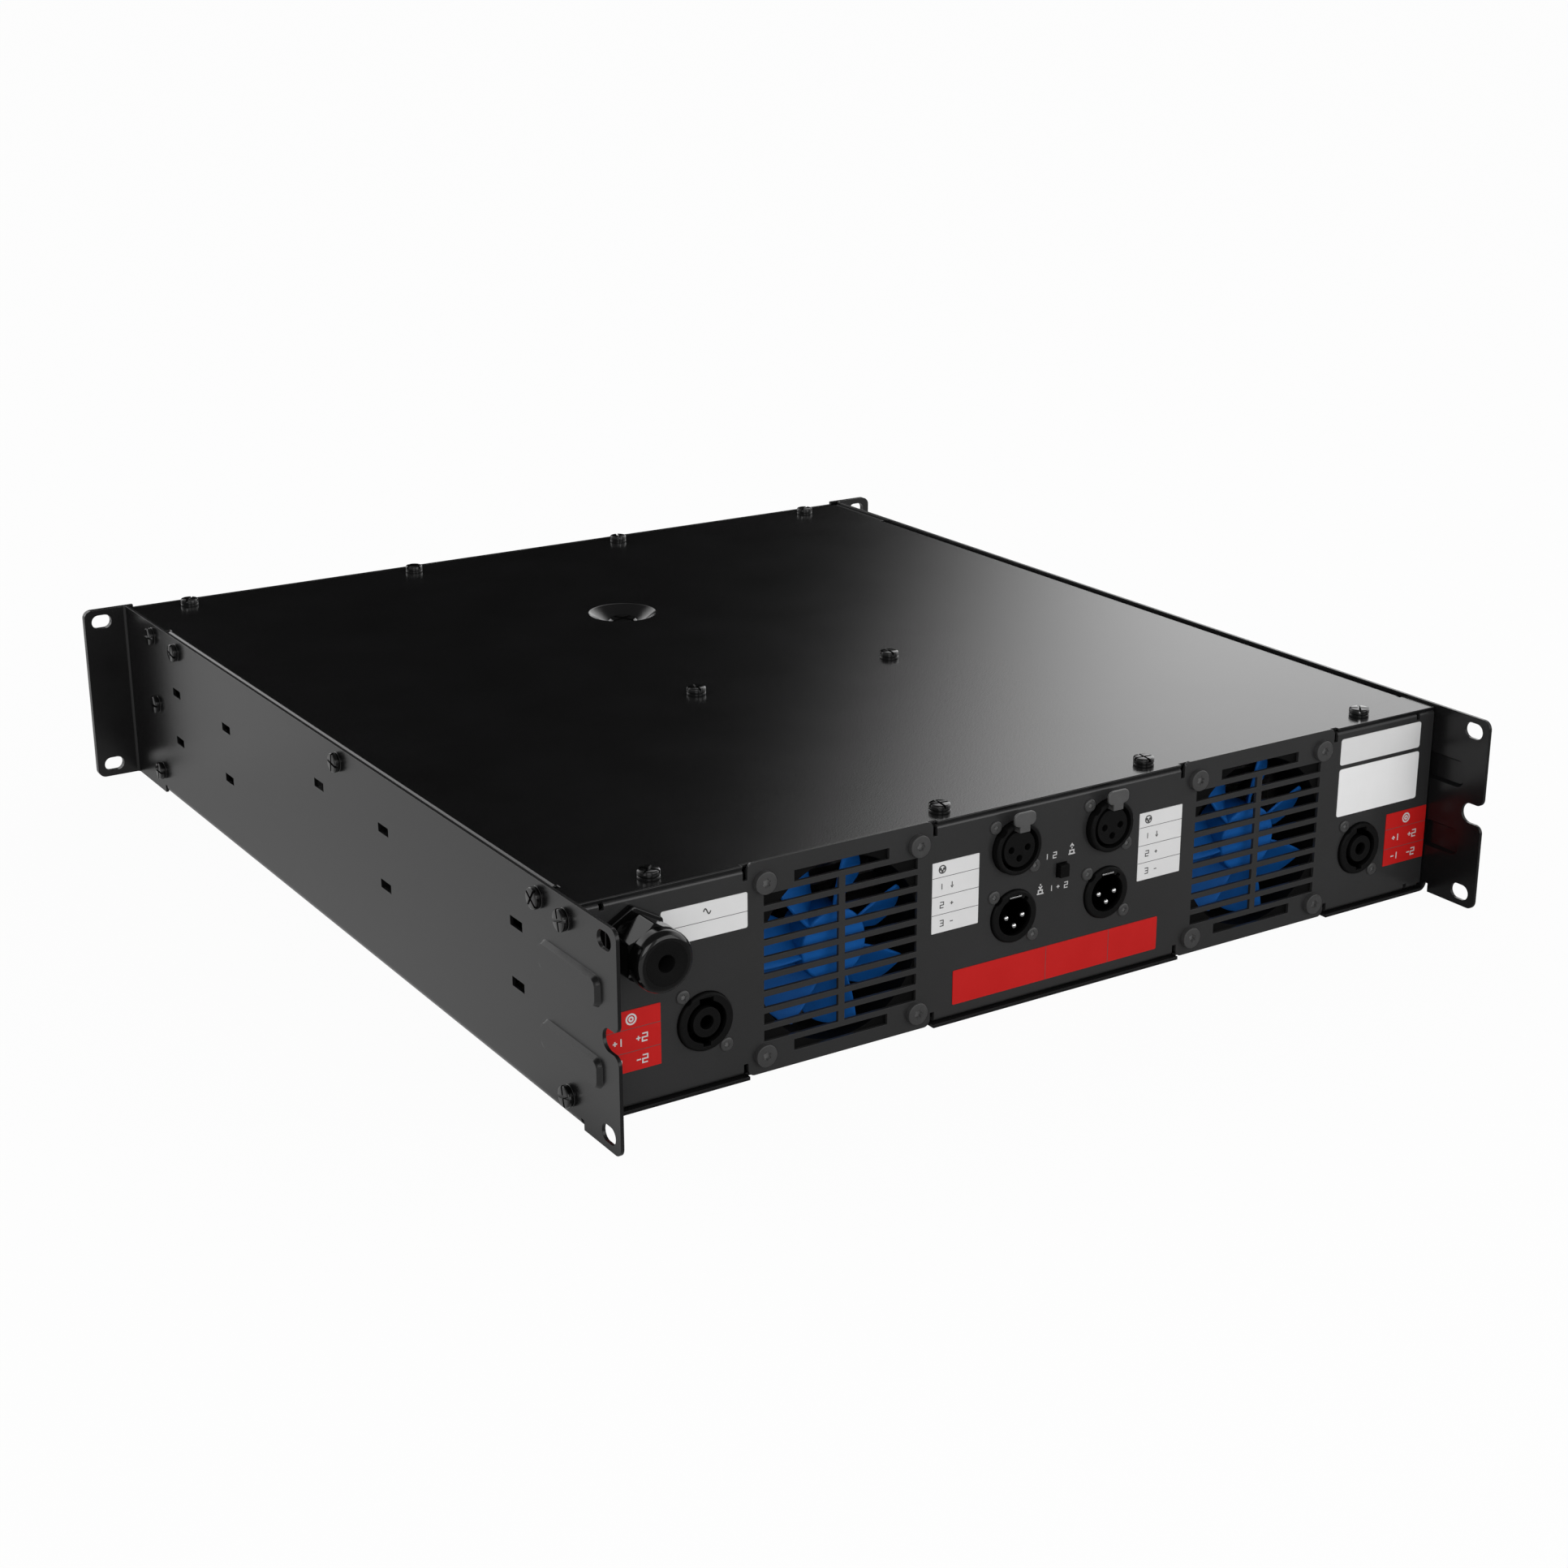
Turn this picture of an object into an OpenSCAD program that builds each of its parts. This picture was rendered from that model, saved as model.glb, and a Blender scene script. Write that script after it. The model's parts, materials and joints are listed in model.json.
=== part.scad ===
// Two-unit rack power amplifier with two channels.
// Millimetres. X runs across the rack, Y from the front to the rear, Z up.
// The origin is on the floor, under the middle of the overall box.
// A depth "d" is counted towards the rear from the back face of the front ears.

/* [Rack] */
// Width over the front ears
rack_w = 482.6; // [480:0.1:484]
// Height of the ears, two rack units
rack_h = 88.9; // [88:0.1:89]
// Spacing of the ear slots across the rack
slot_span = 465.1; // [464:0.1:466]
// Spacing of the ear slots up the rack
slot_rise = 76.2; // [75:0.1:76.4]
// Length of one ear slot
slot_long = 10.2; // [9:0.1:11]
// Height of one ear slot
slot_high = 7.1; // [6:0.1:7.5]

/* [Chassis] */
// Width over the side panels
body_w = 439.2; // [438:0.1:441]
// Depth to the outer face of the rear panel
rear_d = 482; // [480:1:500]
// How far the rear ears reach behind the rear panel
rear_ear = 32; // [30:1:40]
// Thickness of the steel sheet
sheet = 1.5; // [1.4:0.05:1.6]
// Outer radius of the fold between the bottom and the sides
fold_r = 4; // [3:0.1:5]

/* [Top cover] */
// How far the cover lies below the tops of the side panels
cover_drop = 1.05; // [0.9:0.05:1.2]
// Sideways place of the transformer and its dish
dish_x = 10; // [5:1:15]
// Depth of the transformer and its dish
dish_d = 145; // [140:1:150]
// Diameter of the dish at its rim
dish_rim = 34.6; // [30:0.1:38]
// Depth of the dish
dish_deep = 6; // [5:0.1:6.4]

/* [Fans] */
// Side of the square fan frame
fan_size = 80; // [79:0.1:80.5]
// Spacing of the fan screws
fan_pitch = 71.5; // [71:0.1:72]
// Thickness of the fan frame
fan_deep = 25; // [24:0.1:26]
// Sideways place of the fan on the left, seen from the rear
fan_left_x = 102.5; // [101:0.1:104]
// Sideways place of the fan on the right, seen from the rear
fan_right_x = -113.4; // [-115:0.1:-112]
// Height of the fan axes
fan_z = 43.9; // [43.5:0.1:44.3]
// Number of blades
blade_count = 7; // [5:1:7]
// Diameter of the impeller hub
hub_dia = 30; // [29:0.1:31]

/* [Rear connectors] */
// Middle of the four signal connectors, across
signal_x = -5.4; // [-6:0.1:-4]
// Middle of the four signal connectors, up
signal_z = 54.3; // [53:0.05:55]
// Spacing of the signal connectors across
signal_gap_x = 48.2; // [47:0.1:49]
// Spacing of the signal connectors up
signal_gap_z = 30; // [29:0.1:31]
// Sideways place of the left speaker socket
speaker_left_x = 164.9; // [164:0.1:167]
// Sideways place of the right speaker socket
speaker_right_x = -175.6; // [-177:0.1:-174]
// Height of the speaker sockets
speaker_z = 29; // [28:0.1:30]
// Sideways place of the cable gland
gland_x = 196.3; // [196.2:0.1:198]
// Height of the cable gland
gland_z = 69.4; // [66:0.1:69.6]

/* [Front] */
// Thickness of the fascia plate
fascia_t = 2; // [1.5:0.1:2.2]
// Half the spacing of the level knobs
knob_x = 32; // [30:1:34]
// Diameter of a level knob
knob_dia = 22; // [20:0.5:24]
// How far the knobs stand out of the fascia
knob_reach = 14.5; // [13:0.5:16]
// Sideways place of the power rocker
rocker_x = 190; // [189:0.5:191]

/* [Hidden] */
$fn = 64;
// Gap left between pieces that only lie against each other
gap = 0.1;

// Depths and heights that follow from the sizes above
ear_end_d = rear_d + rear_ear;
fascia_front_d = -sheet - fascia_t;
knob_front_d = fascia_front_d - knob_reach;
mid_d = (ear_end_d + knob_front_d) / 2;
side_x = body_w / 2;
side_in_x = side_x - sheet;
mid_z = rack_h / 2;
cover_top = rack_h - cover_drop;
cover_under = cover_top - sheet;
panel_in_d = rear_d - sheet;
flange_x = side_in_x - 0.3;

// Bends and cuts of the chassis tray
ear_bend = 1.5;
ear_round = 4;
front_leg_d = 40;
relief = 2.2;
floor_end_d = rear_d + 2;
window_long = 10;
window_high = 3.9;
window_spots = [
    [68.4, 59.9], [68.4, 34.8], [135.3, 60], [135.3, 34.7], [247.4, 64.9],
    [315, 64.9], [315, 39.8], [436, 64.9], [436, 39.8]
];
rib_long = 45.6;
rib_high = 12.6;
rib_out = 2;
rib_slope = 1.2;
rib_round = 4;
rib_mid_d = rear_d - 3;
rib_rise = 16.1;
notch_r = 4.6;
notch_mouth = 3.5;
notch_deep = 11.7;

// Screws
screw_hole = 4.3;
screw_shank = 3.9;
head_dia = 8.8;
head_high = 3;
front_column_d = 39;
front_column_z = [11.6, 47, 82.4];
cover_side_d = [72, 270, 454.5];
cover_side_z = 81.9;
rear_side_d = rear_d - 6.5;
rear_side_z = [9.8, 80.4];
side_spots = concat(
    [for (z = front_column_z) [front_column_d, z]],
    [for (d = cover_side_d) [d, cover_side_z]],
    [for (z = rear_side_z) [rear_side_d, z]]
);
front_row_d = 9.5;
rear_row_d = rear_d - 10.5;
post_d = 284;
post_x = [49.5, -57.8];
cover_spots = concat(
    [for (k = [-1.5:1:1.5]) [k * 126, front_row_d]],
    [for (x = post_x) [x, post_d]],
    [for (x = [182, 49, -56.5, -181]) [x, rear_row_d]]
);

// Cover flange and rear panel folds
cover_fold = 3;
cover_flange = 20;
cover_flange_d = [54, 461];
panel_fold = 1.8;
panel_half_w = side_in_x - 0.5;
panel_low = sheet + gap;
panel_high = cover_under - gap;
panel_flange = 16;
tab_half_w = 43;
tab_slit = 2;
tab_room = 0.4;
tab_slit_high = 4.5;
tab_low = 0.4;
tab_high = cover_top + 0.5;
corner_slit_x = 207.8;
corner_slit = 3;
low_flange_x = side_x - fold_r;

// Fan grille
grille_rows = 9;
grille_pitch = 7.04;
grille_slot = 4.6;
grille_w = 71.5;
grille_bar = 3;
grille_short_w = 44;
fan_screw_head = 9.2;
fan_screw_high = 2.2;
bore_dia = 75.6;
blade_tip = 36.4;
blade_pitch = 33;
blade_turn = 16;
hub_face_d = rear_d - 5.2;
hub_back_d = panel_in_d - fan_deep + 4;
shaft_r = 1.95;
fan_front_d = panel_in_d - gap;
fan_back_d = fan_front_d - fan_deep;

// Signal connectors
signal_screw = 10.1;
signal_ring = 22.6;
female_out = 3.5;
male_out = 1.5;
flange_t = 2.2;
flange_front_d = panel_in_d - gap;
signal_back_d = rear_d - 22;
pin_circle = 4.1;
pin_r = 1.2;
latch_w = 5.2;
latch_pin_d = rear_d - 8;
latch_pin_up = 8.6;
small_head = 5.6;
small_high = 0.9;
female_spots = [for (s = [1, -1]) [signal_x + s * signal_gap_x / 2, signal_z + signal_gap_z / 2]];
male_spots = [for (s = [1, -1]) [signal_x + s * signal_gap_x / 2, signal_z - signal_gap_z / 2]];

// Speaker sockets
speaker_screw = [9.5, 12];
speaker_ring = 23.8;
speaker_out = 1.8;
speaker_bore = 17.2;
speaker_core = 12.2;
speaker_hole = 5.8;
speaker_spots = [[speaker_left_x, speaker_z], [speaker_right_x, speaker_z]];

// Mode button
button_w = 4.8;
button_h = 5.5;
button_out = 2.6;
button_spot = [signal_x - 0.4, signal_z];

// Cable gland
gland_flats = 24.6;
gland_nut_flats = 22.6;
gland_base = 3.6;
gland_thread = 18.6;
gland_front = 26.9;
gland_hole = 6.8;
gland_seal_dia = 17;

// Transformer
toroid_dia = 144;
toroid_high = 71;
toroid_hole = 40;
pad_t = 2;
bolt_r = 4;
toroid_low = sheet + pad_t;
washer_low = toroid_low + toroid_high + pad_t;
dish_floor = cover_top - dish_deep;

// Heat sinks and boards
sink_front_d = 255;
sink_back_d = fan_back_d - 3;
sink_w = 84;
sink_low = 5;
sink_high = 82;
sink_base = 8;
fin_count = 12;
fin_t = 2;
board_t = 1.6;
amp_board_off = 60;
power_pitch = 30;
power_count = 6;
supply_x = [-48, 40];
supply_d = [262, 446];
supply_z = 9.5;
can_dia = 30;
can_high = 52;

// Front pieces
vent_x = 112;
vent_rows = 8;
vent_w = 96;
vent_bar = 3;
led_x = 62;
led_pitch = 9;
led_r = 1.5;
pot_r = 8.5;
pot_deep = 10;
bush_r = 3.5;
stem_r = 3;
rocker_w = 12.4;
rocker_half = 9;
rocker_tilt = 10;
rocker_pivot_d = -1;
rocker_well = [13, 20.8];
rocker_body = [15, 23];
rocker_bezel = [18, 26];
fascia_screw_spots = [for (sx = [-1, 1]) for (z = [13, 76]) [sx * 209, z]];

// Y of a depth counted from the back face of the front ears
function at(d) = d - mid_d;

// Frames for pieces that face one way
// Seen from the rear: local X to the right, local Y up, local Z out of the panel
module facing_rear(x, z, d) {
    translate([x, at(d), z]) rotate([90, 0, 180]) children();
}

// Seen from the front: local X to the right, local Y up, local Z out of the fascia
module facing_front(x, z, d) {
    translate([x, at(d), z]) rotate([90, 0, 0]) children();
}

// Local Z out of the side panel on the side given, 1 or -1
module facing_side(side, d, z) {
    translate([side * side_x, at(d), z]) rotate([0, side * 90, 0]) children();
}

// An upright plate from a shape in X and Z, from depth d over a thickness
module upright(d, thick) {
    translate([0, at(d + thick), 0]) rotate([90, 0, 0]) linear_extrude(thick) children();
}

// A side plate from a shape in depth and Z, from x over a thickness
module flank(x, thick) {
    translate([x, at(0), 0]) rotate([90, 0, 90]) linear_extrude(thick) children();
}

// A flat plate from a shape in X and depth, from z over a thickness
module level(z, thick) {
    translate([0, at(0), z]) linear_extrude(thick) children();
}

// Outlines
module rounded_rect(w, h, r) {
    square([w - 2 * r, h], center = true);
    square([w, h - 2 * r], center = true);
    for (sx = [-1, 1]) for (sy = [-1, 1]) translate([sx * (w / 2 - r), sy * (h / 2 - r)]) circle(r);
}

module slot_shape(long, high) {
    square([long - high, high], center = true);
    for (s = [-1, 1]) translate([s * (long - high) / 2, 0]) circle(high / 2);
}

// The ring sector of a folded sheet, in the quarter given by the signs
module fold_sector(outer, sx, sy) {
    intersection() {
        difference() {
            circle(outer);
            circle(outer - sheet);
        }
        translate([sx < 0 ? -outer : 0, sy < 0 ? -outer : 0]) square(outer);
    }
}

module block(x, d, z) {
    translate([x[0], at(d[0]), z[0]]) cube([x[1] - x[0], d[1] - d[0], z[1] - z[0]]);
}

// Chassis tray
module ear_slots_at(spots) {
    for (p = spots) translate(p) slot_shape(slot_long, slot_high);
}

module side_outline() {
    ear_slot_d = ear_end_d - 8.9;
    difference() {
        union() {
            translate([ear_bend, 0]) square([ear_end_d - ear_round - ear_bend, rack_h]);
            translate([ear_end_d - 20, ear_round]) square([20, rack_h - 2 * ear_round]);
            for (z = [ear_round, rack_h - ear_round])
                translate([ear_end_d - ear_round, z]) circle(ear_round);
        }
        ear_slots_at([for (s = [-1, 1]) [ear_slot_d, mid_z + s * slot_rise / 2]]);
        side_notch();
        for (p = window_spots) translate(p) square([window_long, window_high], center = true);
        for (p = side_spots) translate(p) circle(d = screw_hole);
        translate([front_leg_d, -1]) square([floor_end_d + relief - front_leg_d, fold_r + 1]);
    }
}

// Round-ended notch in the edge of a rear ear, with a rounded mouth
module side_notch() {
    notch_d = ear_end_d - notch_deep + notch_r;
    translate([notch_d, mid_z]) circle(notch_r);
    translate([notch_d, mid_z - notch_r]) square([notch_deep, 2 * notch_r]);
    difference() {
        translate([ear_end_d - notch_mouth, mid_z - notch_r - notch_mouth])
            square([notch_mouth + 1, 2 * (notch_r + notch_mouth)]);
        for (s = [-1, 1])
            translate([ear_end_d - notch_mouth, mid_z + s * (notch_r + notch_mouth)]) circle(notch_mouth);
    }
}

// Raised stiffening pad of a rear ear: sloped on all sides, with a cone at each corner
module rib(z) {
    straight = [rib_high - 2 * rib_round, rib_long - 2 * rib_round];
    facing_side(1, rib_mid_d, z) {
        for (sx = [-1, 1]) for (sy = [-1, 1]) translate([sx * straight[0] / 2, sy * straight[1] / 2, 0])
            cylinder(r1 = rib_round, r2 = rib_round - rib_slope, h = rib_out);
        translate([0, straight[1] / 2, 0]) rotate([90, 0, 0]) linear_extrude(straight[1])
            rib_section(rib_high);
        translate([-straight[0] / 2, 0, 0]) rotate([90, 0, 90]) linear_extrude(straight[0])
            rib_section(rib_long);
    }
}

module rib_section(wide) {
    polygon([
        [-wide / 2, 0], [wide / 2, 0], [wide / 2 - rib_slope, rib_out], [-wide / 2 + rib_slope, rib_out]
    ]);
}

module tray_half() {
    bend_d = [front_leg_d + relief, floor_end_d];
    difference() {
        union() {
            flank(side_in_x, sheet) side_outline();
            for (s = [-1, 1]) rib(mid_z + s * rib_rise);
        }
        for (s = [-1, 1]) translate([-sheet, 0, 0]) rib(mid_z + s * rib_rise);
    }
    upright(bend_d[0], bend_d[1] - bend_d[0]) translate([side_x - fold_r, fold_r])
        fold_sector(fold_r, 1, -1);
    translate([side_x + ear_bend, at(ear_bend), 0]) linear_extrude(rack_h)
        fold_sector(ear_bend + sheet, -1, -1);
    upright(-sheet, sheet) difference() {
        union() {
            translate([side_x + ear_bend, 0]) square([rack_w / 2 - side_x - ear_bend - ear_round, rack_h]);
            translate([rack_w / 2 - 2 * ear_round, ear_round])
                square([2 * ear_round, rack_h - 2 * ear_round]);
            for (z = [ear_round, rack_h - ear_round])
                translate([rack_w / 2 - ear_round, z]) circle(ear_round);
        }
        ear_slots_at([for (s = [-1, 1]) [slot_span / 2, mid_z + s * slot_rise / 2]]);
    }
}

module chassis_tray() {
    floor_x = side_x - fold_r;
    color([0.1, 0.1, 0.1]) {
        tray_half();
        mirror([1, 0, 0]) tray_half();
        difference() {
            block([-floor_x, floor_x], [0.5, floor_end_d], [0, sheet]);
            for (x = [fan_left_x, fan_right_x]) block(
                [x - tab_half_w - tab_room, x + tab_half_w + tab_room],
                [panel_in_d - tab_room, floor_end_d + 1], [-1, sheet + 1]
            );
        }
    }
}

// Top cover
module cover_outline() {
    difference() {
        union() {
            translate([-flange_x, 2]) square([2 * flange_x, cover_flange_d[0] - relief - 2]);
            translate([-flange_x, cover_flange_d[1] + relief])
                square([2 * flange_x, rear_d - cover_flange_d[1] - relief]);
            translate([-flange_x + cover_fold, 2]) square([2 * (flange_x - cover_fold), rear_d - 2]);
        }
        for (x = [fan_left_x, fan_right_x])
            translate([x - tab_half_w - tab_slit, panel_in_d - 0.3])
                square([2 * (tab_half_w + tab_slit), 2 * sheet]);
        for (p = cover_spots) translate(p) circle(d = screw_hole);
        translate([dish_x, dish_d]) circle(d = dish_rim + 2);
    }
}

module cover_flange_side() {
    long = cover_flange_d[1] - cover_flange_d[0];
    upright(cover_flange_d[0], long) translate([flange_x - cover_fold, cover_top - cover_fold])
        fold_sector(cover_fold, 1, 1);
    flank(flange_x - sheet, sheet) difference() {
        translate([cover_flange_d[0], cover_top - cover_flange]) square([long, cover_flange - cover_fold]);
        for (d = cover_side_d) translate([d, cover_side_z]) circle(d = screw_hole);
    }
}

module dish() {
    rim = dish_rim / 2;
    flat = 9;
    translate([dish_x, at(dish_d), cover_top]) rotate_extrude() polygon([
        [bolt_r + 0.3, -dish_deep], [flat, -dish_deep], [rim, 0], [rim + 2, 0], [rim + 2, -sheet],
        [rim + 0.8, -sheet], [flat + 0.8, -dish_deep - sheet], [bolt_r + 0.3, -dish_deep - sheet]
    ]);
}

module top_cover() {
    color([0.08, 0.08, 0.08]) {
        level(cover_under, sheet) cover_outline();
        cover_flange_side();
        mirror([1, 0, 0]) cover_flange_side();
        dish();
    }
}

// Rear panel
// Plain stretches between the fan tabs, from left to right as X falls
panel_zones = [
    [fan_left_x + tab_half_w + tab_slit, panel_half_w],
    [fan_right_x + tab_half_w + tab_slit, fan_left_x - tab_half_w - tab_slit],
    [-panel_half_w, fan_right_x - tab_half_w - tab_slit]
];

module grille(w, rows, short_w, bar) {
    half = (w - bar) / 2;
    for (k = [0:rows - 1]) for (s = [-1, 1])
        translate([s * (bar + half) / 2, (k - (rows - 1) / 2) * grille_pitch])
            square([half, grille_slot], center = true);
    if (short_w > 0) for (s = [-1, 1])
        translate([0, s * (rows + 1) / 2 * grille_pitch]) square([short_w, grille_slot], center = true);
}

module square_spots(pitch) {
    for (sx = [-1, 1]) for (sy = [-1, 1]) translate([sx * pitch / 2, sy * pitch / 2]) children();
}

module rear_outline() {
    difference() {
        union() {
            translate([-panel_half_w, panel_low + tab_slit_high])
                square([2 * panel_half_w, panel_high - panel_low - 2 * tab_slit_high]);
            for (z = panel_zones) translate([z[0], panel_low + panel_fold])
                square([z[1] - z[0], panel_high - panel_low - 2 * panel_fold]);
            for (x = [fan_left_x, fan_right_x]) translate([x, (tab_low + tab_high) / 2])
                rounded_rect(2 * tab_half_w, tab_high - tab_low, 3);
        }
        for (x = [fan_left_x, fan_right_x]) translate([x, fan_z]) {
            grille(grille_w, grille_rows, grille_short_w, grille_bar);
            square_spots(fan_pitch) circle(d = screw_hole + 0.2);
        }
        for (p = concat(female_spots, male_spots)) translate(p) {
            circle(d = signal_ring + 0.4);
            for (s = [-1, 1]) translate([s * signal_screw, s * signal_screw]) circle(d = 3.4);
        }
        for (p = speaker_spots) translate(p) {
            circle(d = speaker_ring + 0.4);
            for (s = [-1, 1]) translate([s * speaker_screw[0], s * speaker_screw[1]]) circle(d = 3.4);
        }
        translate(button_spot) square([button_w + 0.8, button_h + 0.8], center = true);
        translate([gland_x, gland_z]) circle(d = gland_thread + 0.4);
    }
}

// Folded flange of one plain stretch; side 1 is the upper fold, -1 the lower one
module panel_fold_strip(zone, side) {
    mid_fold = rear_d - panel_fold;
    back = rear_d - panel_flange;
    edge_z = side > 0 ? panel_high : panel_low;
    translate([zone[0], at(0), 0]) rotate([90, 0, 90]) linear_extrude(zone[1] - zone[0]) {
        translate([mid_fold, edge_z - side * panel_fold]) fold_sector(panel_fold, 1, side);
        translate([back, side > 0 ? edge_z - sheet : edge_z]) square([mid_fold - back, sheet]);
    }
}

module panel_side_flange() {
    flank(panel_half_w - sheet, sheet) difference() {
        translate([rear_d - panel_flange, 6.5]) square([panel_flange - sheet / 2, 76.8]);
        for (z = rear_side_z) translate([rear_side_d, z]) circle(d = screw_hole);
    }
}

module rear_panel() {
    color([0.14, 0.14, 0.14]) difference() {
        union() {
            upright(panel_in_d, sheet) rear_outline();
            for (z = panel_zones) {
                panel_fold_strip(z, 1);
                panel_fold_strip([max(z[0], -low_flange_x), min(z[1], low_flange_x)], -1);
            }
            panel_side_flange();
            mirror([1, 0, 0]) panel_side_flange();
        }
        for (p = cover_spots) if (p[1] == rear_row_d) translate([p[0], at(p[1]), panel_high - 3])
            cylinder(d = screw_hole, h = 6);
        for (s = [-1, 1]) for (z = [panel_low - 1, panel_high - corner_slit])
            translate([s * corner_slit_x - 1, at(rear_d - 3), z]) cube([2, 4, corner_slit + 1]);
    }
}

// Front frame and fascia
module rocker_shape(size) {
    translate([rocker_x, mid_z]) square(size, center = true);
}

module front_frame() {
    half = side_in_x - 0.6;
    top = cover_under - gap;
    frame_low = sheet + gap;
    side_back_d = 50;
    flange = 18;
    color([0.12, 0.12, 0.12]) {
        upright(-sheet, sheet) difference() {
            translate([-half, frame_low]) square([2 * half, top - frame_low]);
            for (s = [-1, 1]) {
                translate([s * vent_x, mid_z]) rounded_rect(vent_w + 8, 66, 3);
                translate([s * knob_x, mid_z]) circle(bush_r + 0.2);
                for (k = [-1:1]) translate([s * led_x, mid_z + k * led_pitch]) circle(led_r + 0.4);
            }
            rocker_shape(rocker_body + [0.4, 0.4]);
            for (p = fascia_screw_spots) translate(p) circle(d = 3.2);
        }
        difference() {
            block([-half, half], [0, flange], [top - sheet, top]);
            for (p = cover_spots) if (p[1] == front_row_d) translate([p[0], at(p[1]), top - 3])
                cylinder(d = screw_hole, h = 6);
        }
        block([-half, half], [0, flange], [frame_low, frame_low + sheet]);
        for (s = [0, 1]) mirror([s, 0, 0]) flank(half - sheet, sheet) difference() {
            translate([0, frame_low + 4]) square([side_back_d, top - frame_low - 5.5]);
            for (z = front_column_z) translate([front_column_d, z]) circle(d = screw_hole);
        }
    }
}

module front_fascia() {
    color([0.1, 0.1, 0.1]) upright(fascia_front_d, fascia_t) difference() {
        translate([0, mid_z]) rounded_rect(rack_w, rack_h, ear_round);
        translate([-side_in_x + 3, cover_top - 0.6]) square([2 * side_in_x - 6, 3]);
        for (s = [-1, 1]) {
            translate([s * vent_x, mid_z]) grille(vent_w, vent_rows, 0, vent_bar);
            translate([s * knob_x, mid_z]) circle(bush_r + 0.2);
            for (k = [-1:1]) translate([s * led_x, mid_z + k * led_pitch]) circle(led_r + 0.1);
            ear_slots_at([for (u = [-1, 1]) [s * slot_span / 2, mid_z + u * slot_rise / 2]]);
        }
        rocker_shape(rocker_body + [0.4, 0.4]);
        for (p = fascia_screw_spots) translate(p) circle(d = 3.2);
    }
}

// Fans
module fan_frame(x) {
    flange = 4.5;
    color([0.05, 0.05, 0.05]) facing_rear(x, fan_z, fan_back_d) {
        difference() {
            union() {
                for (z = [0, fan_deep - flange]) translate([0, 0, z]) linear_extrude(flange)
                    rounded_rect(fan_size, fan_size, 4);
                cylinder(d = fan_size - 0.4, h = fan_deep);
            }
            translate([0, 0, -1]) cylinder(d = bore_dia, h = fan_deep + 2);
            square_spots(fan_pitch) translate([0, 0, -1]) cylinder(d = screw_hole + 0.1, h = fan_deep + 2);
        }
        difference() {
            union() {
                cylinder(d = hub_dia + 2, h = 3);
                cylinder(d = 8, h = 14);
                for (k = [0:3]) rotate(45 + 90 * k) translate([hub_dia / 2 - 2, -2, 0])
                    cube([(bore_dia - hub_dia) / 2 + 2.5, 4, 3]);
            }
            translate([0, 0, 1]) cylinder(r = shaft_r + 0.05, h = 14);
        }
    }
}

module blade() {
    plate = 1.6;
    intersection() {
        rotate([blade_pitch, 0, 0]) translate([0, 0, -plate / 2]) linear_extrude(plate)
            polygon([
                [12, -5.4], [16, -6.8], [24, -10.4], [30, -12.8], [33, -10.6], [36, -5], [38, 0],
                [38, 12], [33, 11.6], [24, 9.4], [16, 7.2], [12, 5.6]
            ]);
        difference() {
            translate([0, 0, -20]) cylinder(r = blade_tip, h = 40);
            translate([0, 0, -21]) cylinder(d = hub_dia - 2, h = 42);
        }
    }
}

module fan_impeller(x) {
    long = hub_face_d - hub_back_d;
    wall = 1.6;
    color([0.06, 0.24, 0.48]) facing_rear(x, fan_z, hub_back_d) {
        difference() {
            cylinder(d = hub_dia, h = long);
            translate([0, 0, -1]) cylinder(d = hub_dia - 2 * wall, h = long - wall + 1);
        }
        translate([0, 0, -2]) cylinder(r = shaft_r, h = long + 1);
        for (k = [0:blade_count - 1]) rotate(blade_turn + 360 * k / blade_count)
            translate([0, 0, long / 2]) blade();
    }
}

module fan_stators() {
    color([0.45, 0.25, 0.12]) for (x = [fan_left_x, fan_right_x]) facing_rear(x, fan_z, fan_back_d + 5)
        difference() {
            union() {
                cylinder(d = 16, h = 8);
                for (k = [0:3]) rotate(90 * k) translate([5, -4, 0.5]) cube([7.5, 8, 7]);
            }
            translate([0, 0, -1]) cylinder(d = 8.1, h = 10);
        }
}

// Screws
// Round head with a cross recess on a thin washer; the shank runs down from the washer
module cross_screw(shank_long) {
    washer = 0.5;
    neck = 0.3;
    head = head_high - washer - neck;
    difference() {
        union() {
            cylinder(d = head_dia, h = washer);
            cylinder(d = head_dia - 1.4, h = washer + neck + 0.1);
            translate([0, 0, washer + neck]) cylinder(d = head_dia - 0.3, h = head - 0.7);
            translate([0, 0, head_high - 0.7]) cylinder(d1 = head_dia - 0.3, d2 = head_dia - 1.7, h = 0.7);
            translate([0, 0, -shank_long]) cylinder(d = screw_shank, h = shank_long + 0.1);
        }
        for (a = [0, 90]) rotate(a) translate([-head_dia, -0.6, head_high - 1.2])
            cube([2 * head_dia, 1.2, 2]);
    }
}

module cover_screws() {
    color([0.07, 0.07, 0.07]) for (p = cover_spots) translate([p[0], at(p[1]), cover_top])
        rotate(p[0] * 1.7) cross_screw(7);
}

module side_screws() {
    color([0.07, 0.07, 0.07]) for (side = [-1, 1]) for (p = side_spots) facing_side(side, p[0], p[1])
        rotate(p[0] * 2.3) cross_screw(6);
}

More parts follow.
